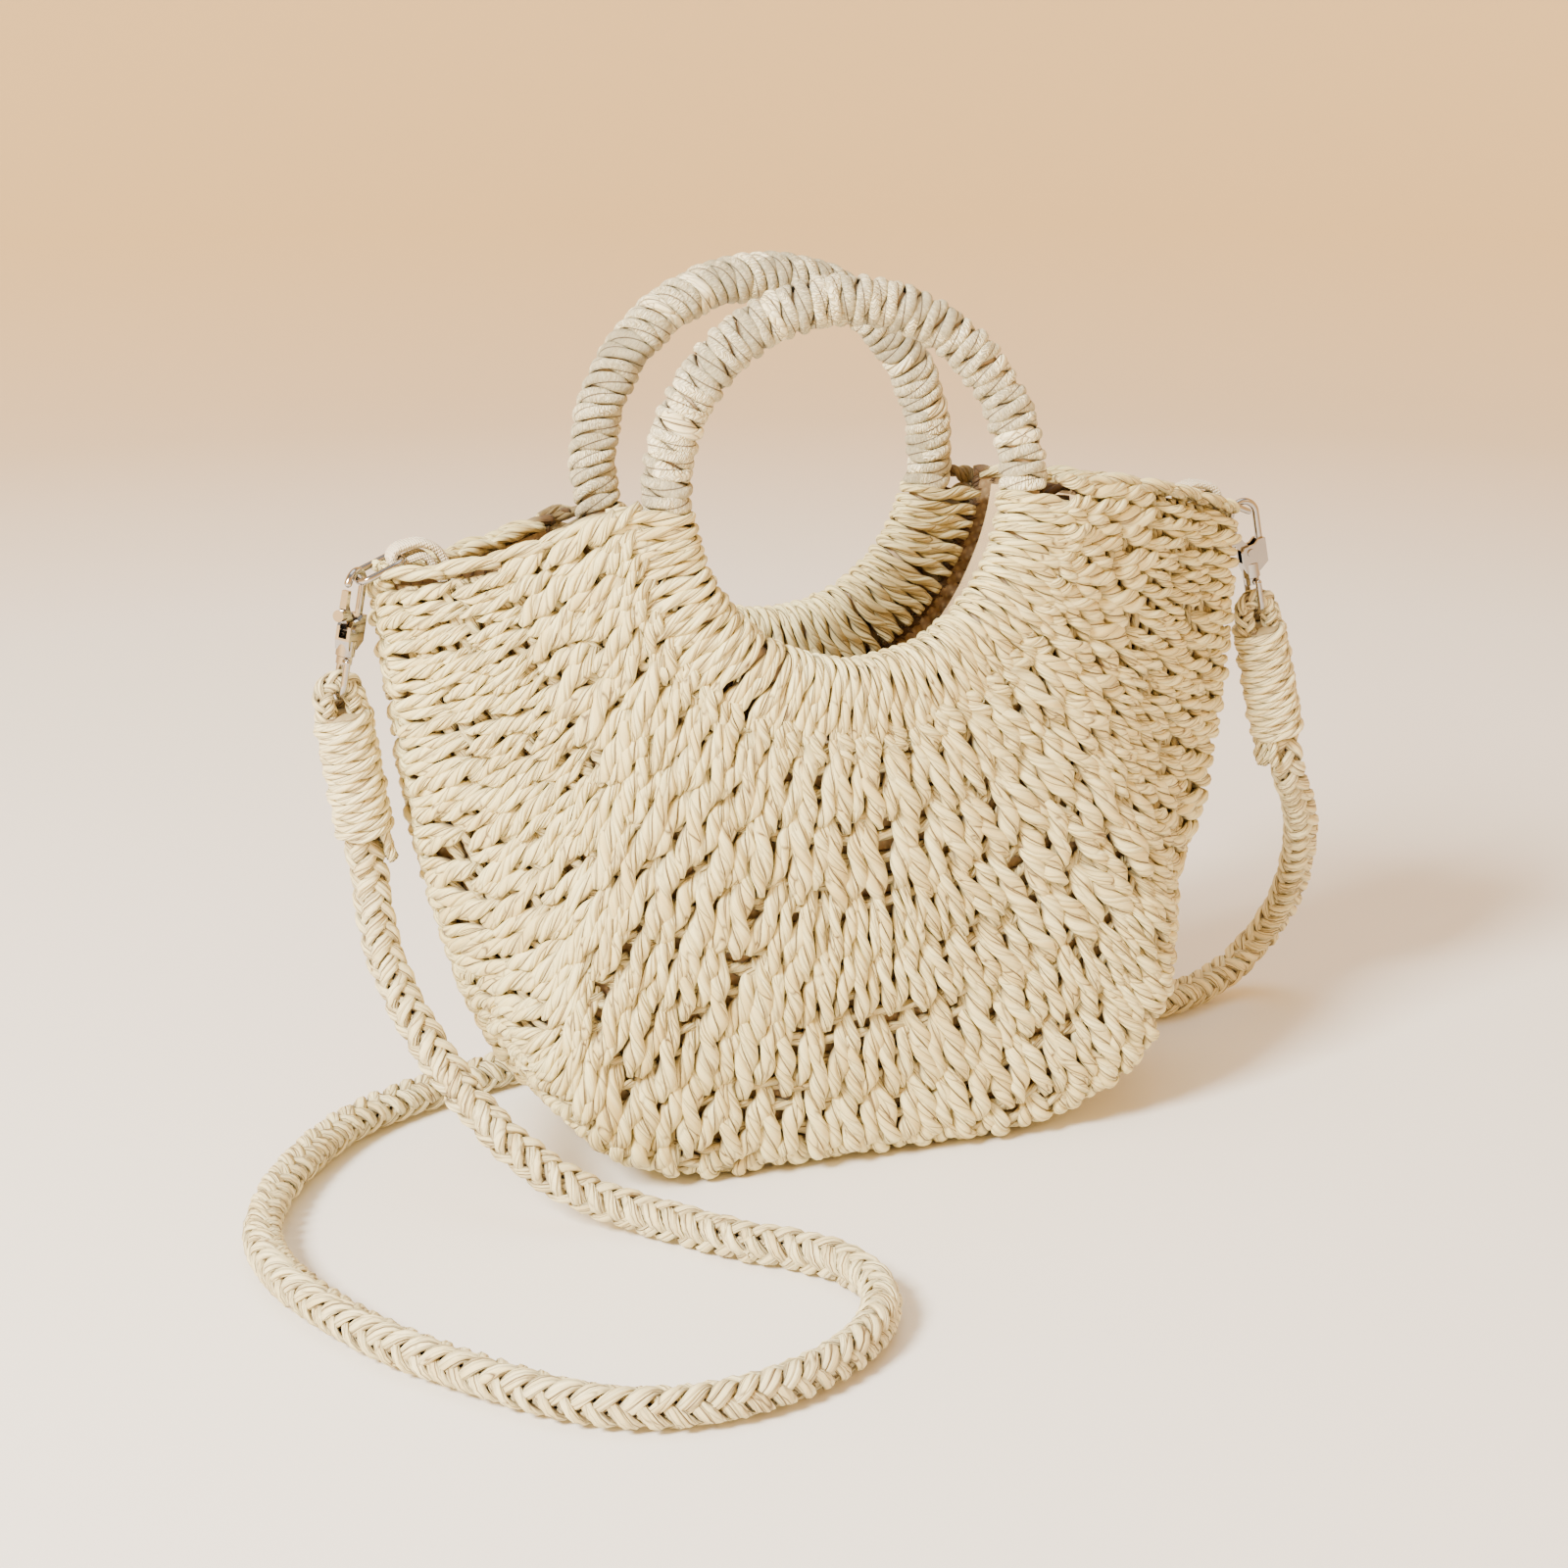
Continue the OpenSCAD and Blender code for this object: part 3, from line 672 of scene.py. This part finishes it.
def make_panel(side, material, shade_sheet_material):
    """A panel's stitches in four pieces, the cords behind them, and a dark sheet behind them all, as
    painted shade.
    """
    surface = SURFACES[side]
    rng = np.random.default_rng(17 + side)
    rows = stitch_rows(surface)
    cuts = (0, 2, 4, 6, len(rows))
    for name, first, last in zip(("top", "upper", "lower", "foot"), cuts, cuts[1:]):
        strands = Strands()
        for row in range(first, last):
            tops, feet = rows[row]
            if row == 0:
                # feet of stitches that start out of sight, under the band
                for side_sign in (1, -1):
                    add_legs(strands, surface, -1, tops, tops, side_sign, rng)
            for side_sign in (1, -1):
                add_legs(strands, surface, row, tops, feet, side_sign, rng)
        strands.make(f"{SIDE_NAME[side]}_stitches_{name}", material, "root",
                     f"{SIDE_NAME[side]}_panel" if name == "top" else None)
    inner = Strands()
    add_row_cords(inner, surface, rows, rng)
    inner.make(f"{SIDE_NAME[side]}_row_cords", material, "root")
    # a dark sheet behind the stitches, as painted shade seen through their gaps
    shade_sheet = grid_sheet(SIDE_NAME[side] + "_backing", surface, np.linspace(0.004, 0.996, 121),
                         np.linspace(0, 1, 61), lambda u, k: -SHADE_SHEET_DEPTH + 0 * u)
    finished(shade_sheet, shade_sheet_material, "root")


def grid_sheet(name, surface, us, shares, height, low=0, high=None):
    """A single-layer sheet, height(u, share) out from a surface, from low to high(u)."""
    u, share = np.meshgrid(us, shares, indexing="ij")
    point, _, _, out = surface.at(u, lerp(low, (high or surface.length_at)(u), share))
    point = point + out * height(u, share)[..., None]
    return mesh_object(name, point.reshape(-1, 3), grid_quads(*u.shape))


# ---- edges: rope along each panel's top rim, and lacing between the panels ----
def make_rims(side, material):
    """Two lines of overlapping ropes along each top rim, from the ring to the corner."""
    surface = SURFACES[side]
    rng = np.random.default_rng(30 + side)
    strands = Strands()
    for u, way in ((0.0, -1), (1.0, 1)):
        reach = surface.length_at(u) + 4 * MM
        for depth, rise, width in ((2.4, 1.7, 5.4), (5.6, 0.9, 5.0)):
            start = 0.0
            while start < reach - 8 * MM:
                end = min(start + rng.normal(24, 2) * MM, reach)
                k = np.linspace(0, 1, 16)
                point, across, _, out = surface.at(np.full(16, u), lerp(start, end, k))
                swell = np.sin(np.pi * k) ** 0.6
                lift = (rise + 1.2 * swell - 1.4 * (1 - k)) * MM
                path = (point + across * (way * lift)[:, None]
                        - out * ((depth + 1.3 * (k - 0.5)) * MM)[:, None])
                fat = 0.55 + 0.45 * swell
                # painted shade at each rope's start, where the rope before it covers it, and a
                # little on its hidden side
                strands.add(path, out, across * way, width * MM * fat, 4.6 * MM * fat,
                            rng.uniform(0, 6) - 5.5 * k, rng.uniform(0.3, 0.9),
                            0.35 * (1 - smooth(k / 0.2)), painted_underside_shade=0.3)
                start = end - 5.5 * MM
    strands.make(f"{SIDE_NAME[side]}_rim_ropes", material, "root")


LACE_PITCH = 6.6 * MM


def make_edge(material):
    """Short stitches that lace the two panels together along the outline."""
    rng = np.random.default_rng(5)
    strands = Strands()
    fine = np.linspace(0, 1, 1501)
    line = edge(fine)
    run = np.concatenate([[0], np.cumsum(length_of(np.diff(line, axis=0)))])
    count = int(run[-1] / LACE_PITCH)
    u = np.interp((np.arange(count) + 0.5) / count * run[-1], run, fine)
    foot, outward = edge(u), edge_out(u)
    boxy = smooth((150 * MM - foot[:, 1]) / (140 * MM))
    half_y = lerp(EDGE_END_Y - 3.0 * MM, EDGE_FOOT_Y + 3 * MM, boxy)
    k = np.linspace(-1, 1, 15)[None]
    bulge = lerp(-0.5, -2.6, smooth((12 * MM - foot[:, 1]) / (12 * MM)))
    jitter = rng.normal(0, 0.5, count)
    reach = ((bulge + jitter)[:, None] - 3.4 * np.abs(k) ** 2.4) * MM
    slant = rng.normal(2.2, 0.5, count)[:, None] * k * MM
    tangent = np.stack([-outward[:, 1], outward[:, 0]], -1)
    xz = (foot[:, None] + outward[:, None] * reach[..., None]
          + tangent[:, None] * slant[..., None])
    path = np.stack([xz[..., 0], half_y[:, None] * np.sin(k * 1.35), xz[..., 1]], -1)
    along = unit(np.gradient(path, axis=1))
    across = np.broadcast_to(np.stack([tangent[:, 0], 0 * foot[:, 0], tangent[:, 1]], -1)
                             [:, None], along.shape)
    up = unit(np.cross(along, across))
    across = np.cross(up, along)
    fat = 0.6 + 0.4 * np.cos(k * 1.4)
    twist = rng.uniform(0, 6, count)[:, None] + k * 2.6
    # painted shade at each stitch's ends, where they go in between the panels
    strands.add(path, across, up, 7.2 * MM * fat, 4.6 * MM * fat, twist,
                np.clip(rng.normal(0.6, 0.2, count), 0, 1), 0.35 * np.abs(k) ** 3)
    strands.make("edge_lacing", material, "root", "edge_seam")


# ---- bands: strands over each ring down to its panel, inside and out ----
def band_path(k):
    """(rho, out) of a strand's middle, k from 0 at the outer seam to 1 inside."""
    points = np.array([
        (BAND_R - 0.2 * MM, 2.6 * MM), (76 * MM, 4.0 * MM), (70 * MM, 5.8 * MM),
        (65 * MM, 6.6 * MM), (RING_R, 7.1 * MM), (56 * MM, 5.9 * MM), (53.6 * MM, 2.6 * MM),
        (53.2 * MM, 0), (53.6 * MM, -2.6 * MM), (56 * MM, -5.9 * MM), (RING_R, -7.1 * MM),
        (66 * MM, -6.6 * MM), (72 * MM, -5.4 * MM), (79 * MM, -4.6 * MM)])
    line = catmull_rom(np.column_stack([points, 0 * points[:, 0]]), 6)
    run = run_along(line)
    return [np.interp(k * run[-1], run, line[:, i]) for i in (0, 1)]


BAND_PITCH = 5.35 * MM


def make_band(side, material, thread):
    """The strands from a ring down to its panel, and the thread along their outer seam."""
    rng = np.random.default_rng(40 + side)
    strands = Strands()
    below = FOOT_ANGLE[side]
    arc = 180 - 2 * below
    count = int(round(math.radians(arc) * BAND_R / BAND_PITCH))
    k = np.linspace(0, 1, 40)[None]
    rho, out = band_path(k)
    angle = 180 + below + (np.arange(count) + 0.5) / count * arc
    lean_by = 3.4 * (1 - smooth(k / 0.45)) - 2.2 * smooth((k - 0.7) / 0.3)
    angle = angle[:, None] - lean_by + rng.normal(0, 0.45, count)[:, None]
    rise = rng.normal(0, 0.35 * MM, count)[:, None]
    out = out + rise * np.sign(out)
    path = on_ring(side, rho, angle, out)
    ahead = on_ring(side, rho, angle + 0.5, out)
    along = unit(np.gradient(path, axis=1))
    across = unit(ahead - path)
    up = unit(np.cross(along, across))
    up *= np.sign((up * (path - on_ring(side, RING_R + 8 * MM * (rho > RING_R), angle, 0)))
                  .sum(-1, keepdims=True))
    across = np.cross(up, along)
    pitch = math.radians(arc) / count * rho
    fat = (0.62 + 0.46 * smooth(k / 0.14) - 0.10 * smooth((k - 0.2) / 0.3)
           - 0.4 * smooth((k - 0.86) / 0.14))
    twist = rng.uniform(0, 6, count)[:, None] - k * rng.normal(15, 1.5, count)[:, None]
    # painted shade on each strand's inner part, inside the ring
    strands.add(path, across, up, pitch * 1.08 * fat, 4.0 * MM * fat, twist,
                np.clip(rng.normal(0.66, 0.18, count), 0, 1), 0.25 * smooth((k - 0.55) / 0.2))
    strands.make(f"{SIDE_NAME[side]}_band_strands", material, "root",
                 f"{SIDE_NAME[side]}_band")
    seam = Strands()
    angle = np.linspace(180 + below + 1, 360 - below - 1, 240)
    wave = np.abs(np.sin(np.radians(angle) * count * 180 / arc))
    path = on_ring(side, BAND_R + 0.5 * MM * np.sin(angle * 1.7), angle, (3.4 + 0.8 * wave) * MM)
    up = np.broadcast_to(on_ring(side, 0, 0, 1.0) - on_ring(side, 0, 0, 0.0), path.shape)
    across = np.cross(unit(np.gradient(path, axis=0)), up)
    seam.add(path, across, up, 0.6 * MM, 0.6 * MM, np.arange(240) * 0.9, 0.7, sides=8, painted_underside_shade=0)
    seam.make(f"{SIDE_NAME[side]}_band_thread", thread, "root")


# ---- ring handles: rope wound closely round a cane core ----
WIND_PITCH = 4.95 * MM


def make_ring_wrap(side, material):
    """One long rope wound round a ring's core, over the part above its band."""
    rng = np.random.default_rng(60 + side)
    strands = Strands()
    below = FOOT_ANGLE[side]
    arc = 180 + 2 * below
    turns = int(round(math.radians(arc) * RING_R / WIND_PITCH))
    per_turn = 30
    k = np.arange(turns * per_turn + 1) / per_turn
    spacing = np.concatenate([[0], np.cumsum(1 + rng.normal(0, 0.07, turns))])
    turn_at = np.interp(k, np.arange(turns + 1), spacing / spacing[-1])
    angle = -below + turn_at * arc
    phi = 2 * np.pi * k + 0.9
    radius = (GRIP_R - 1.3 * MM) + 0.25 * MM * np.interp(
        k, np.arange(turns + 1), rng.normal(0, 1, turns + 1))
    # each turn leans, so its outer face lies a little further round than its inner one
    angle = angle + 1.3 * np.sin(phi)
    path = on_ring(side, RING_R + radius * np.cos(phi), angle, radius * np.sin(phi))
    outward = unit(path - on_ring(side, RING_R, angle, 0))
    width = 5.1 * MM * (1 + 0.06 * np.sin(k * 2.7))
    strands.add(path, *wound_frame(path, outward), width, 3.3 * MM, -phi * 1.37, 0.7,
                groove=0.26)
    # the rope's tone drifts from point to point as it winds
    even = strands.tone[0]
    drift = np.interp(np.arange(len(even)), np.linspace(0, len(even), turns * 2),
                      rng.normal(0, 0.14, turns * 2))
    strands.tone[0] = np.clip(even + drift, 0, 1)
    strands.make(f"{SIDE_NAME[side]}_ring_winding", material, "root",
                 f"{SIDE_NAME[side]}_ring_wrap")


# ---- strap ends ----
BAR_X, BAR_Z, HOOK_TILT, EYE_Z = 156 * MM, 202 * MM, 11, -37.9 * MM
LOOP_R, WHIP_TOP, WHIP_LEN, WHIP_D = 5 * MM, 4 * MM, 43 * MM, 18.8 * MM
WHIP_TURNS = {LEFT: 12, RIGHT: 13}
UPPER_LEN, LOWER_LEN, BRAID_PITCH = 92 * MM, 112 * MM, 29 * MM
LOOP_D, LOOP_PITCH, LOOP_LEG = 7.6 * MM, 17 * MM, 8 * MM
WHIP_LEAN = {LEFT: -8, RIGHT: -13}
NAME = {LEFT: "left", RIGHT: "right"}


def about_y(degrees):
    a = math.radians(degrees)
    return np.array([[math.cos(a), 0, math.sin(a)], [0, 1, 0], [-math.sin(a), 0, math.cos(a)]])


def strap_end_place(side, points):
    """Moves points from a strap end's own frame to the bag's."""
    hang = about_y(-side * HOOK_TILT)
    own = about_y(side * HOOK_TILT + WHIP_LEAN[side])
    inner = points @ own.T + np.array([0, 0, EYE_Z])
    return inner @ hang.T + np.array([side * BAR_X, 0, BAR_Z])


def add_braid(strands, path, first, diameter, pitch, rng, run_from=0.0, run_to=None,
              step=1.6 * MM):
    """A round braid of eight flat strands, each over two and under two."""
    run = run_along(path)
    run_to = run[-1] if run_to is None else run_to
    across, up = carried_frame(path, first)
    s = np.linspace(run_from, run_to, max(8, int((run_to - run_from) / step)))
    centre, a, b = (np.stack([np.interp(s, run, v[:, i]) for i in range(3)], -1)
                    for v in (path, across, up))
    a, b = unit(a), unit(b)
    n = 8 * s / pitch
    scale = diameter / STRAP_D
    for way in (1, -1):
        for strand in range(4):
            turn = 2 * np.pi * (way * n / 8 + strand / 4)
            middle = 0.5 + 2 * strand if way > 0 else 1.5 + 2 * strand
            lift = np.cos(np.pi / 2 * (n - middle))
            radius = (4.15 + 1.05 * lift) * MM * scale
            radial = a * np.cos(turn)[:, None] + b * np.sin(turn)[:, None]
            line = centre + radial * radius[:, None]
            width = (4.6 + 0.9 * lift) * MM * scale
            # painted shade where a strand dips under the others
            strands.add(line, *wound_frame(line, radial), width, 2.9 * MM * scale,
                        n * 0.55 + strand, rng.uniform(0.35, 0.9),
                        0.42 * (1 - lift) / 2, sides=8, groove=0.16)


def make_strap(material):
    """The strap as five cords end to end, since each can follow one joint only."""
    path = evenly(catmull_rom(STRAP_ROUTE, 16), 1400)
    run = run_along(path)
    length = run[-1]
    cuts = (0, UPPER_LEN, UPPER_LEN + LOWER_LEN, length - UPPER_LEN - LOWER_LEN,
            length - UPPER_LEN, length)
    names = ("left_upper", "left_lower", "middle", "right_lower", "right_upper")

    def point(at):
        return [float(np.interp(at, run, path[:, i])) for i in range(3)]

    for name, begin, end in zip(names, cuts, cuts[1:]):
        rng = np.random.default_rng(80)
        strands = Strands()
        add_braid(strands, path, (0.0, 1.0, 0.0), STRAP_D, BRAID_PITCH, rng, begin, end)
        piece = strands.make("strap_" + name, material)
        side, way = ("left", 1) if begin < length / 2 else ("right", -1)
        near, far = (begin, end)[::way]
        if name.endswith("upper"):
            grip = near + way * 6 * MM
            point(far)
            point(grip)
            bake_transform(piece)
        elif name.endswith("lower"):
            point(far)
            point(near)
            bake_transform(piece)
        else:
            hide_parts("strap_cord")
            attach(piece, "root")
        point(near)


def make_strap_end(side, material):
    """A strap end's braided loop, whipping and cut tails."""
    rng = np.random.default_rng(90 + side)
    # braided loop through the swivel eye
    k = np.linspace(0, np.pi, 40)
    arch = np.stack([-LOOP_R * np.cos(k), 0 * k, LOOP_R * np.sin(k)], -1)
    leg = np.stack([np.full(7, -LOOP_R), np.zeros(7), np.linspace(-LOOP_LEG, 0, 8)[:-1]], -1)
    path = strap_end_place(side, np.vstack([leg, arch, leg[::-1] * [-1, 1, 1]]))
    strands = Strands()
    add_braid(strands, path, (0.0, 1.0, 0.0), LOOP_D, LOOP_PITCH, rng, step=0.7 * MM)
    body = NAME[side] + "_strap_end"
    strands.make(NAME[side] + "_loop_braid", material, body,
                 NAME[side] + "_strap_loop")
    # whipping: one rope wound down from the loop, with a disc to close each end
    turns = WHIP_TURNS[side]
    strands = Strands()
    k = np.linspace(0, turns, turns * 30 + 1)
    pitch = WHIP_LEN / turns
    z = -WHIP_TOP - 0.9 * MM - (WHIP_LEN - 2.8 * MM) * k / turns
    z = z + 0.35 * pitch * np.sin(2 * np.pi * k + 1.0)
    radius = WHIP_D / 2 - 1.5 * MM + 0.3 * MM * np.sin(k * 1.9 + side)
    local = np.stack([radius * np.cos(2 * np.pi * k), radius * np.sin(2 * np.pi * k), z], -1)
    path = strap_end_place(side, local)
    axis = strap_end_place(side, local * [0, 0, 1])
    strands.add(path, *wound_frame(path, unit(path - axis)), pitch * 1.02, 3.6 * MM, -k * 14,
                0.75, groove=0.28)
    for end_z in (-WHIP_TOP - 3.0 * MM, -WHIP_TOP - WHIP_LEN + 1.6 * MM):
        cap = np.zeros((5, 3))
        cap[:, 2] = end_z + np.linspace(-1, 1, 5) * MM
        flat = strap_end_place(side, cap)
        # the discs get painted shade
        strands.add(flat, *carried_frame(flat, (0, 1, 0)), 14.5 * MM, 14.5 * MM, 0.0, 0.3, 0.6,
                    sides=20, groove=0.0, oval=0.0, painted_underside_shade=0)
    strands.make(NAME[side] + "_whipping_rope", material, body,
                 NAME[side] + "_whipping")
    # cut ends of the ropes, under the whipping on the bag's side
    strands = Strands()
    for i, y in enumerate((-5.2, -1.7, 1.9, 5.0)):
        k = np.linspace(0, 1, 12)
        x = -side * (6.3 - abs(y) / 5) * MM - side * 0.9 * MM * k ** 2 + 0 * k
        z = -WHIP_TOP - WHIP_LEN + 2 * MM - (11.5 + rng.uniform(-1.5, 1.0)) * MM * k
        path = strap_end_place(side, np.stack([x, y * MM * (1 + 0.15 * k), z], -1))
        strands.add(path, *carried_frame(path, (0, 1, 0)), (3.5 + 0.5 * k) * MM,
                    (3.3 + 0.4 * k) * MM, k * 7 + i, rng.uniform(0.4, 0.9), 0.0, groove=0.34,
                    painted_underside_shade=0)
    strands.make(NAME[side] + "_rope_ends", material, body,
                 NAME[side] + "_cord_tails")


# ---- ribbon tabs: folded round the link's inner bar ----
TAB_X, TAB_Z, TAB_W = 142 * MM, 208 * MM, 7.4 * MM
TAB_THICK, TAB_STEPS = 2.2 * MM, 29
# The ribbon's run from inside the bag, round the link's bar and back: mm in and up from the bar
RIBBON_LINE = [(20, -17), (17.5, -10), (14.8, -3.6), (11.6, 1.6), (7, 3.9), (2.6, 3.6),
               (-0.9, 2.5), (-2.5, 0), (-1, -2.0), (3, -0.2), (7, 0.6), (10, -1.8), (13, -7),
               (15.5, -12), (18, -18)]


def make_tab(side, material):
    rng = np.random.default_rng(120 + side)
    line = catmull_rom([(x, 0, z) for x, z in RIBBON_LINE], 7) * MM
    line = line * [-side, 1, 1] + np.array([side * TAB_X, 0, TAB_Z])
    ys = np.linspace(-0.5, 0.5, TAB_STEPS)
    rib = 0.16 * MM * np.sin(ys * 2 * np.pi * 4)[None] * np.cos(
        run_along(line) / (0.8 * MM) * np.pi)[:, None]
    crown = (0.5 * MM * (1 - (2 * ys) ** 4)[None]
             + rng.normal(0, 0.02 * MM, (len(line), TAB_STEPS)))
    normal = np.cross(unit(np.gradient(line, axis=0)), (0, side, 0))
    cloth = line[:, None] + normal[:, None] * (rib + crown)[..., None]
    cloth[..., 1] += ys[None] * TAB_W
    piece = mesh_object(NAME[side] + "_ribbon", cloth.reshape(-1, 3),
                        grid_quads(*cloth.shape[:2]))
    thick = piece.modifiers.new("cloth", "SOLIDIFY")
    thick.thickness, thick.offset = TAB_THICK, 0
    applied(piece)
    finished(piece, material, "root", NAME[side] + "_tab")


def applied(obj):
    """Applies every modifier of an object to its mesh."""
    depsgraph = bpy.context.evaluated_depsgraph_get()
    mesh = bpy.data.meshes.new_from_object(obj.evaluated_get(depsgraph))
    obj.modifiers.clear()
    obj.data = mesh


# ---- lining: a cotton bag hung inside, with a stitched hem at the mouth ----
LINING_DEPTH, HEM_DEPTH, HEM_W, MOUTH = 8.5 * MM, 10.4 * MM, 18 * MM, 4 * MM
LINING_SHARE, LINING_FLAT = 0.94, (0.30, 0.26)
STITCH_STEP, STITCH_LEN = 5.2 * MM, 3.4 * MM


def make_lining(side, material, thread):
    """One side of the lining, its hem, and the hem's stitches.

    The front's pieces replace the CAD lining and hem, which cover both sides.
    """
    surface = SURFACES[side]
    name = SIDE_NAME[side]

    def wrinkles(u, k):
        soft = np.sin(u * 23 + 2 * np.sin(k * 3)) * np.sin(k * 5 + 1.7 * u * 6)
        fine = np.sin(u * 71 + 4 * np.sin(k * 6 + u * 9)) * 0.4
        return -LINING_DEPTH - (0.5 + 0.5 * (soft + fine)) * 1.3 * MM * smooth(k * 4)

    lining = grid_sheet(name + "_lining_cloth", surface, np.linspace(0.015, 0.985, 161),
                        np.linspace(0, 1, 90), wrinkles, MOUTH,
                        lambda u: LINING_SHARE * surface.length_at(u))
    finished(lining, material, "root", "lining_bag" if side == FRONT else None)

    hem = grid_sheet(name + "_hem_cloth", surface, np.linspace(0.03, 0.97, 161),
                     np.linspace(0, 1, 12),
                     lambda u, k: -HEM_DEPTH + 0.25 * MM * np.sin(u * 60 + k * 2),
                     MOUTH, lambda u: MOUTH + HEM_W + 0 * u)
    finished(hem, material, "root", "lining_hem" if side == FRONT else None)
    stitches = Strands()
    u = np.linspace(0.04, 0.96, 2400)
    depth = MOUTH + HEM_W - 3 * MM
    run = run_along(surface.at(u, depth)[0])
    for begin in np.arange(2 * MM, run[-1] - 4 * MM, STITCH_STEP):
        mine = np.interp(begin + np.linspace(0, STITCH_LEN, 6), run, u)
        point, _, down, out = surface.at(mine, depth)
        arch = np.sin(np.linspace(0, np.pi, 6))[:, None]
        stitches.add(point - out * (HEM_DEPTH + 0.35 * MM * arch), down, out,
                     0.7 * MM, 0.6 * MM, 0.0, 0.8, sides=6, painted_underside_shade=0)
    stitches.make(name + "_hem_stitches", thread, "root")


# ---- materials of the model ----
# each straw's third colour is its painted shade, for creases, grooves and hidden sides
PAPER = straw("paper_straw", (0.88, 0.80, 0.43), (0.76, 0.63, 0.28), (0.10, 0.055, 0.02))
PALE = straw("pale_straw", (0.94, 0.88, 0.62), (0.86, 0.75, 0.44), (0.12, 0.07, 0.03))
ROPE = straw("strap_straw", (0.91, 0.83, 0.50), (0.80, 0.67, 0.34), (0.11, 0.06, 0.02))
# a dark textured straw for the sheet of painted shade behind the stitches
SHADE_SHEET_STRAW = weave("shaded_straw", (0.30, 0.21, 0.10), (0.18, 0.11, 0.05), 900)
COTTON = weave("cotton", (0.86, 0.70, 0.46), (0.76, 0.59, 0.36), 2600, 0.25)
RIBBON = weave("ribbon", (0.97, 0.90, 0.70), (0.60, 0.48, 0.28), 2400, 1.0)
CANE = weave("cane", (0.56, 0.42, 0.25), (0.45, 0.32, 0.18), 300, 0.2)
NICKEL = metal("nickel", (0.40, 0.375, 0.35), 0.07)
STEEL = metal("spring_steel", (0.55, 0.55, 0.56), 0.25)
# CAD nodes that are kept as they are, and only get a material
CAD_PARTS = {f"{NAME[side]}_{part}": material for side in (LEFT, RIGHT) for part, material in (
    ("link", NICKEL), ("hook_body", NICKEL), ("trigger", NICKEL), ("trigger_pin", NICKEL),
    ("swivel_eye", NICKEL), ("trigger_spring", STEEL))}
CAD_PARTS |= {SIDE_NAME[side] + "_ring_core": CANE for side in (FRONT, BACK)}

# Each light's place, what it points at, its size in metres, power in watts and colour
LIGHTS = {"key": ((-1.6, -0.9, 1.5), (0, 0, 0.12), 0.6, 165, (1, 0.98, 0.93)),
          "fill": ((1.6, -1.7, 1.1), (0, 0, 0.12), 1.6, 16, (1, 0.96, 0.90)),
          "top": ((0.1, 0.1, 1.9), (0, 0, 0.1), 1.2, 12, (1, 0.98, 0.95))}
SKY, SKY_STRENGTH = (1, 0.98, 0.95, 1), 0.6
FLOOR_COLOUR, WALL_COLOUR = (0.84, 0.80, 0.74), (0.74, 0.53, 0.26)


def make_stage():
    """A pale round floor that curves up into a warm wall, and soft light from the left."""
    bend = np.linspace(0, np.pi / 2, 12)
    radius = np.concatenate([[0.02, 0.5, 1.0], 1.4 + 0.8 * np.sin(bend), [2.2]])
    height = np.concatenate([[0, 0, 0], 0.8 * (1 - np.cos(bend)), [2.8]])
    turn = np.linspace(0, 2 * np.pi, 97)
    points = np.stack([np.outer(np.cos(turn), radius), np.outer(np.sin(turn), radius),
                       np.outer(np.ones(97), height)], -1)
    floor = mesh_object("floor", points.reshape(-1, 3), grid_quads(97, len(radius)))
    shading = Shading("pale_wall")
    far = shading.node("ShaderNodeVectorMath", (shading.where(),), operation="LENGTH")
    colour = shading.ramp(shading.ranged(far.outputs["Value"], 0, 1.8, 0, 1), [
        (0.0, FLOOR_COLOUR), (0.45, FLOOR_COLOUR), (1.0, WALL_COLOUR)])
    floor.data.materials.append(shading.finish(Base_Color=colour, Roughness=0.8))
    for name, (place, aim, size, power, tint) in LIGHTS.items():
        light = bpy.data.lights.new(name, "AREA")
        light.energy, light.size, light.color = power, size, tint
        lamp = bpy.data.objects.new(name, light)
        lamp.location = place
        way = Vector(place) - Vector(aim)
        lamp.rotation_euler = way.to_track_quat("Z", "Y").to_euler()
        bpy.context.collection.objects.link(lamp)
    world = bpy.data.worlds.new("studio")
    world.use_nodes = True
    sky = world.node_tree.nodes["Background"]
    sky.inputs[0].default_value, sky.inputs[1].default_value = SKY, SKY_STRENGTH
    bpy.context.scene.world = world


make_camera()
make_strap(ROPE)
for side in (FRONT, BACK):
    make_panel(side, PAPER, SHADE_SHEET_STRAW)
    make_band(side, PAPER, PAPER)
    make_ring_wrap(side, PALE)
    make_rims(side, PAPER)
make_edge(PAPER)
for side in (LEFT, RIGHT):
    make_strap_end(side, ROPE)
    make_tab(side, RIBBON)
for side in (FRONT, BACK):
    make_lining(side, COTTON, PALE)
for part, material in CAD_PARTS.items():
    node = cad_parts[part]
    node.data.materials.clear()
    node.data.materials.append(material)
make_stage()
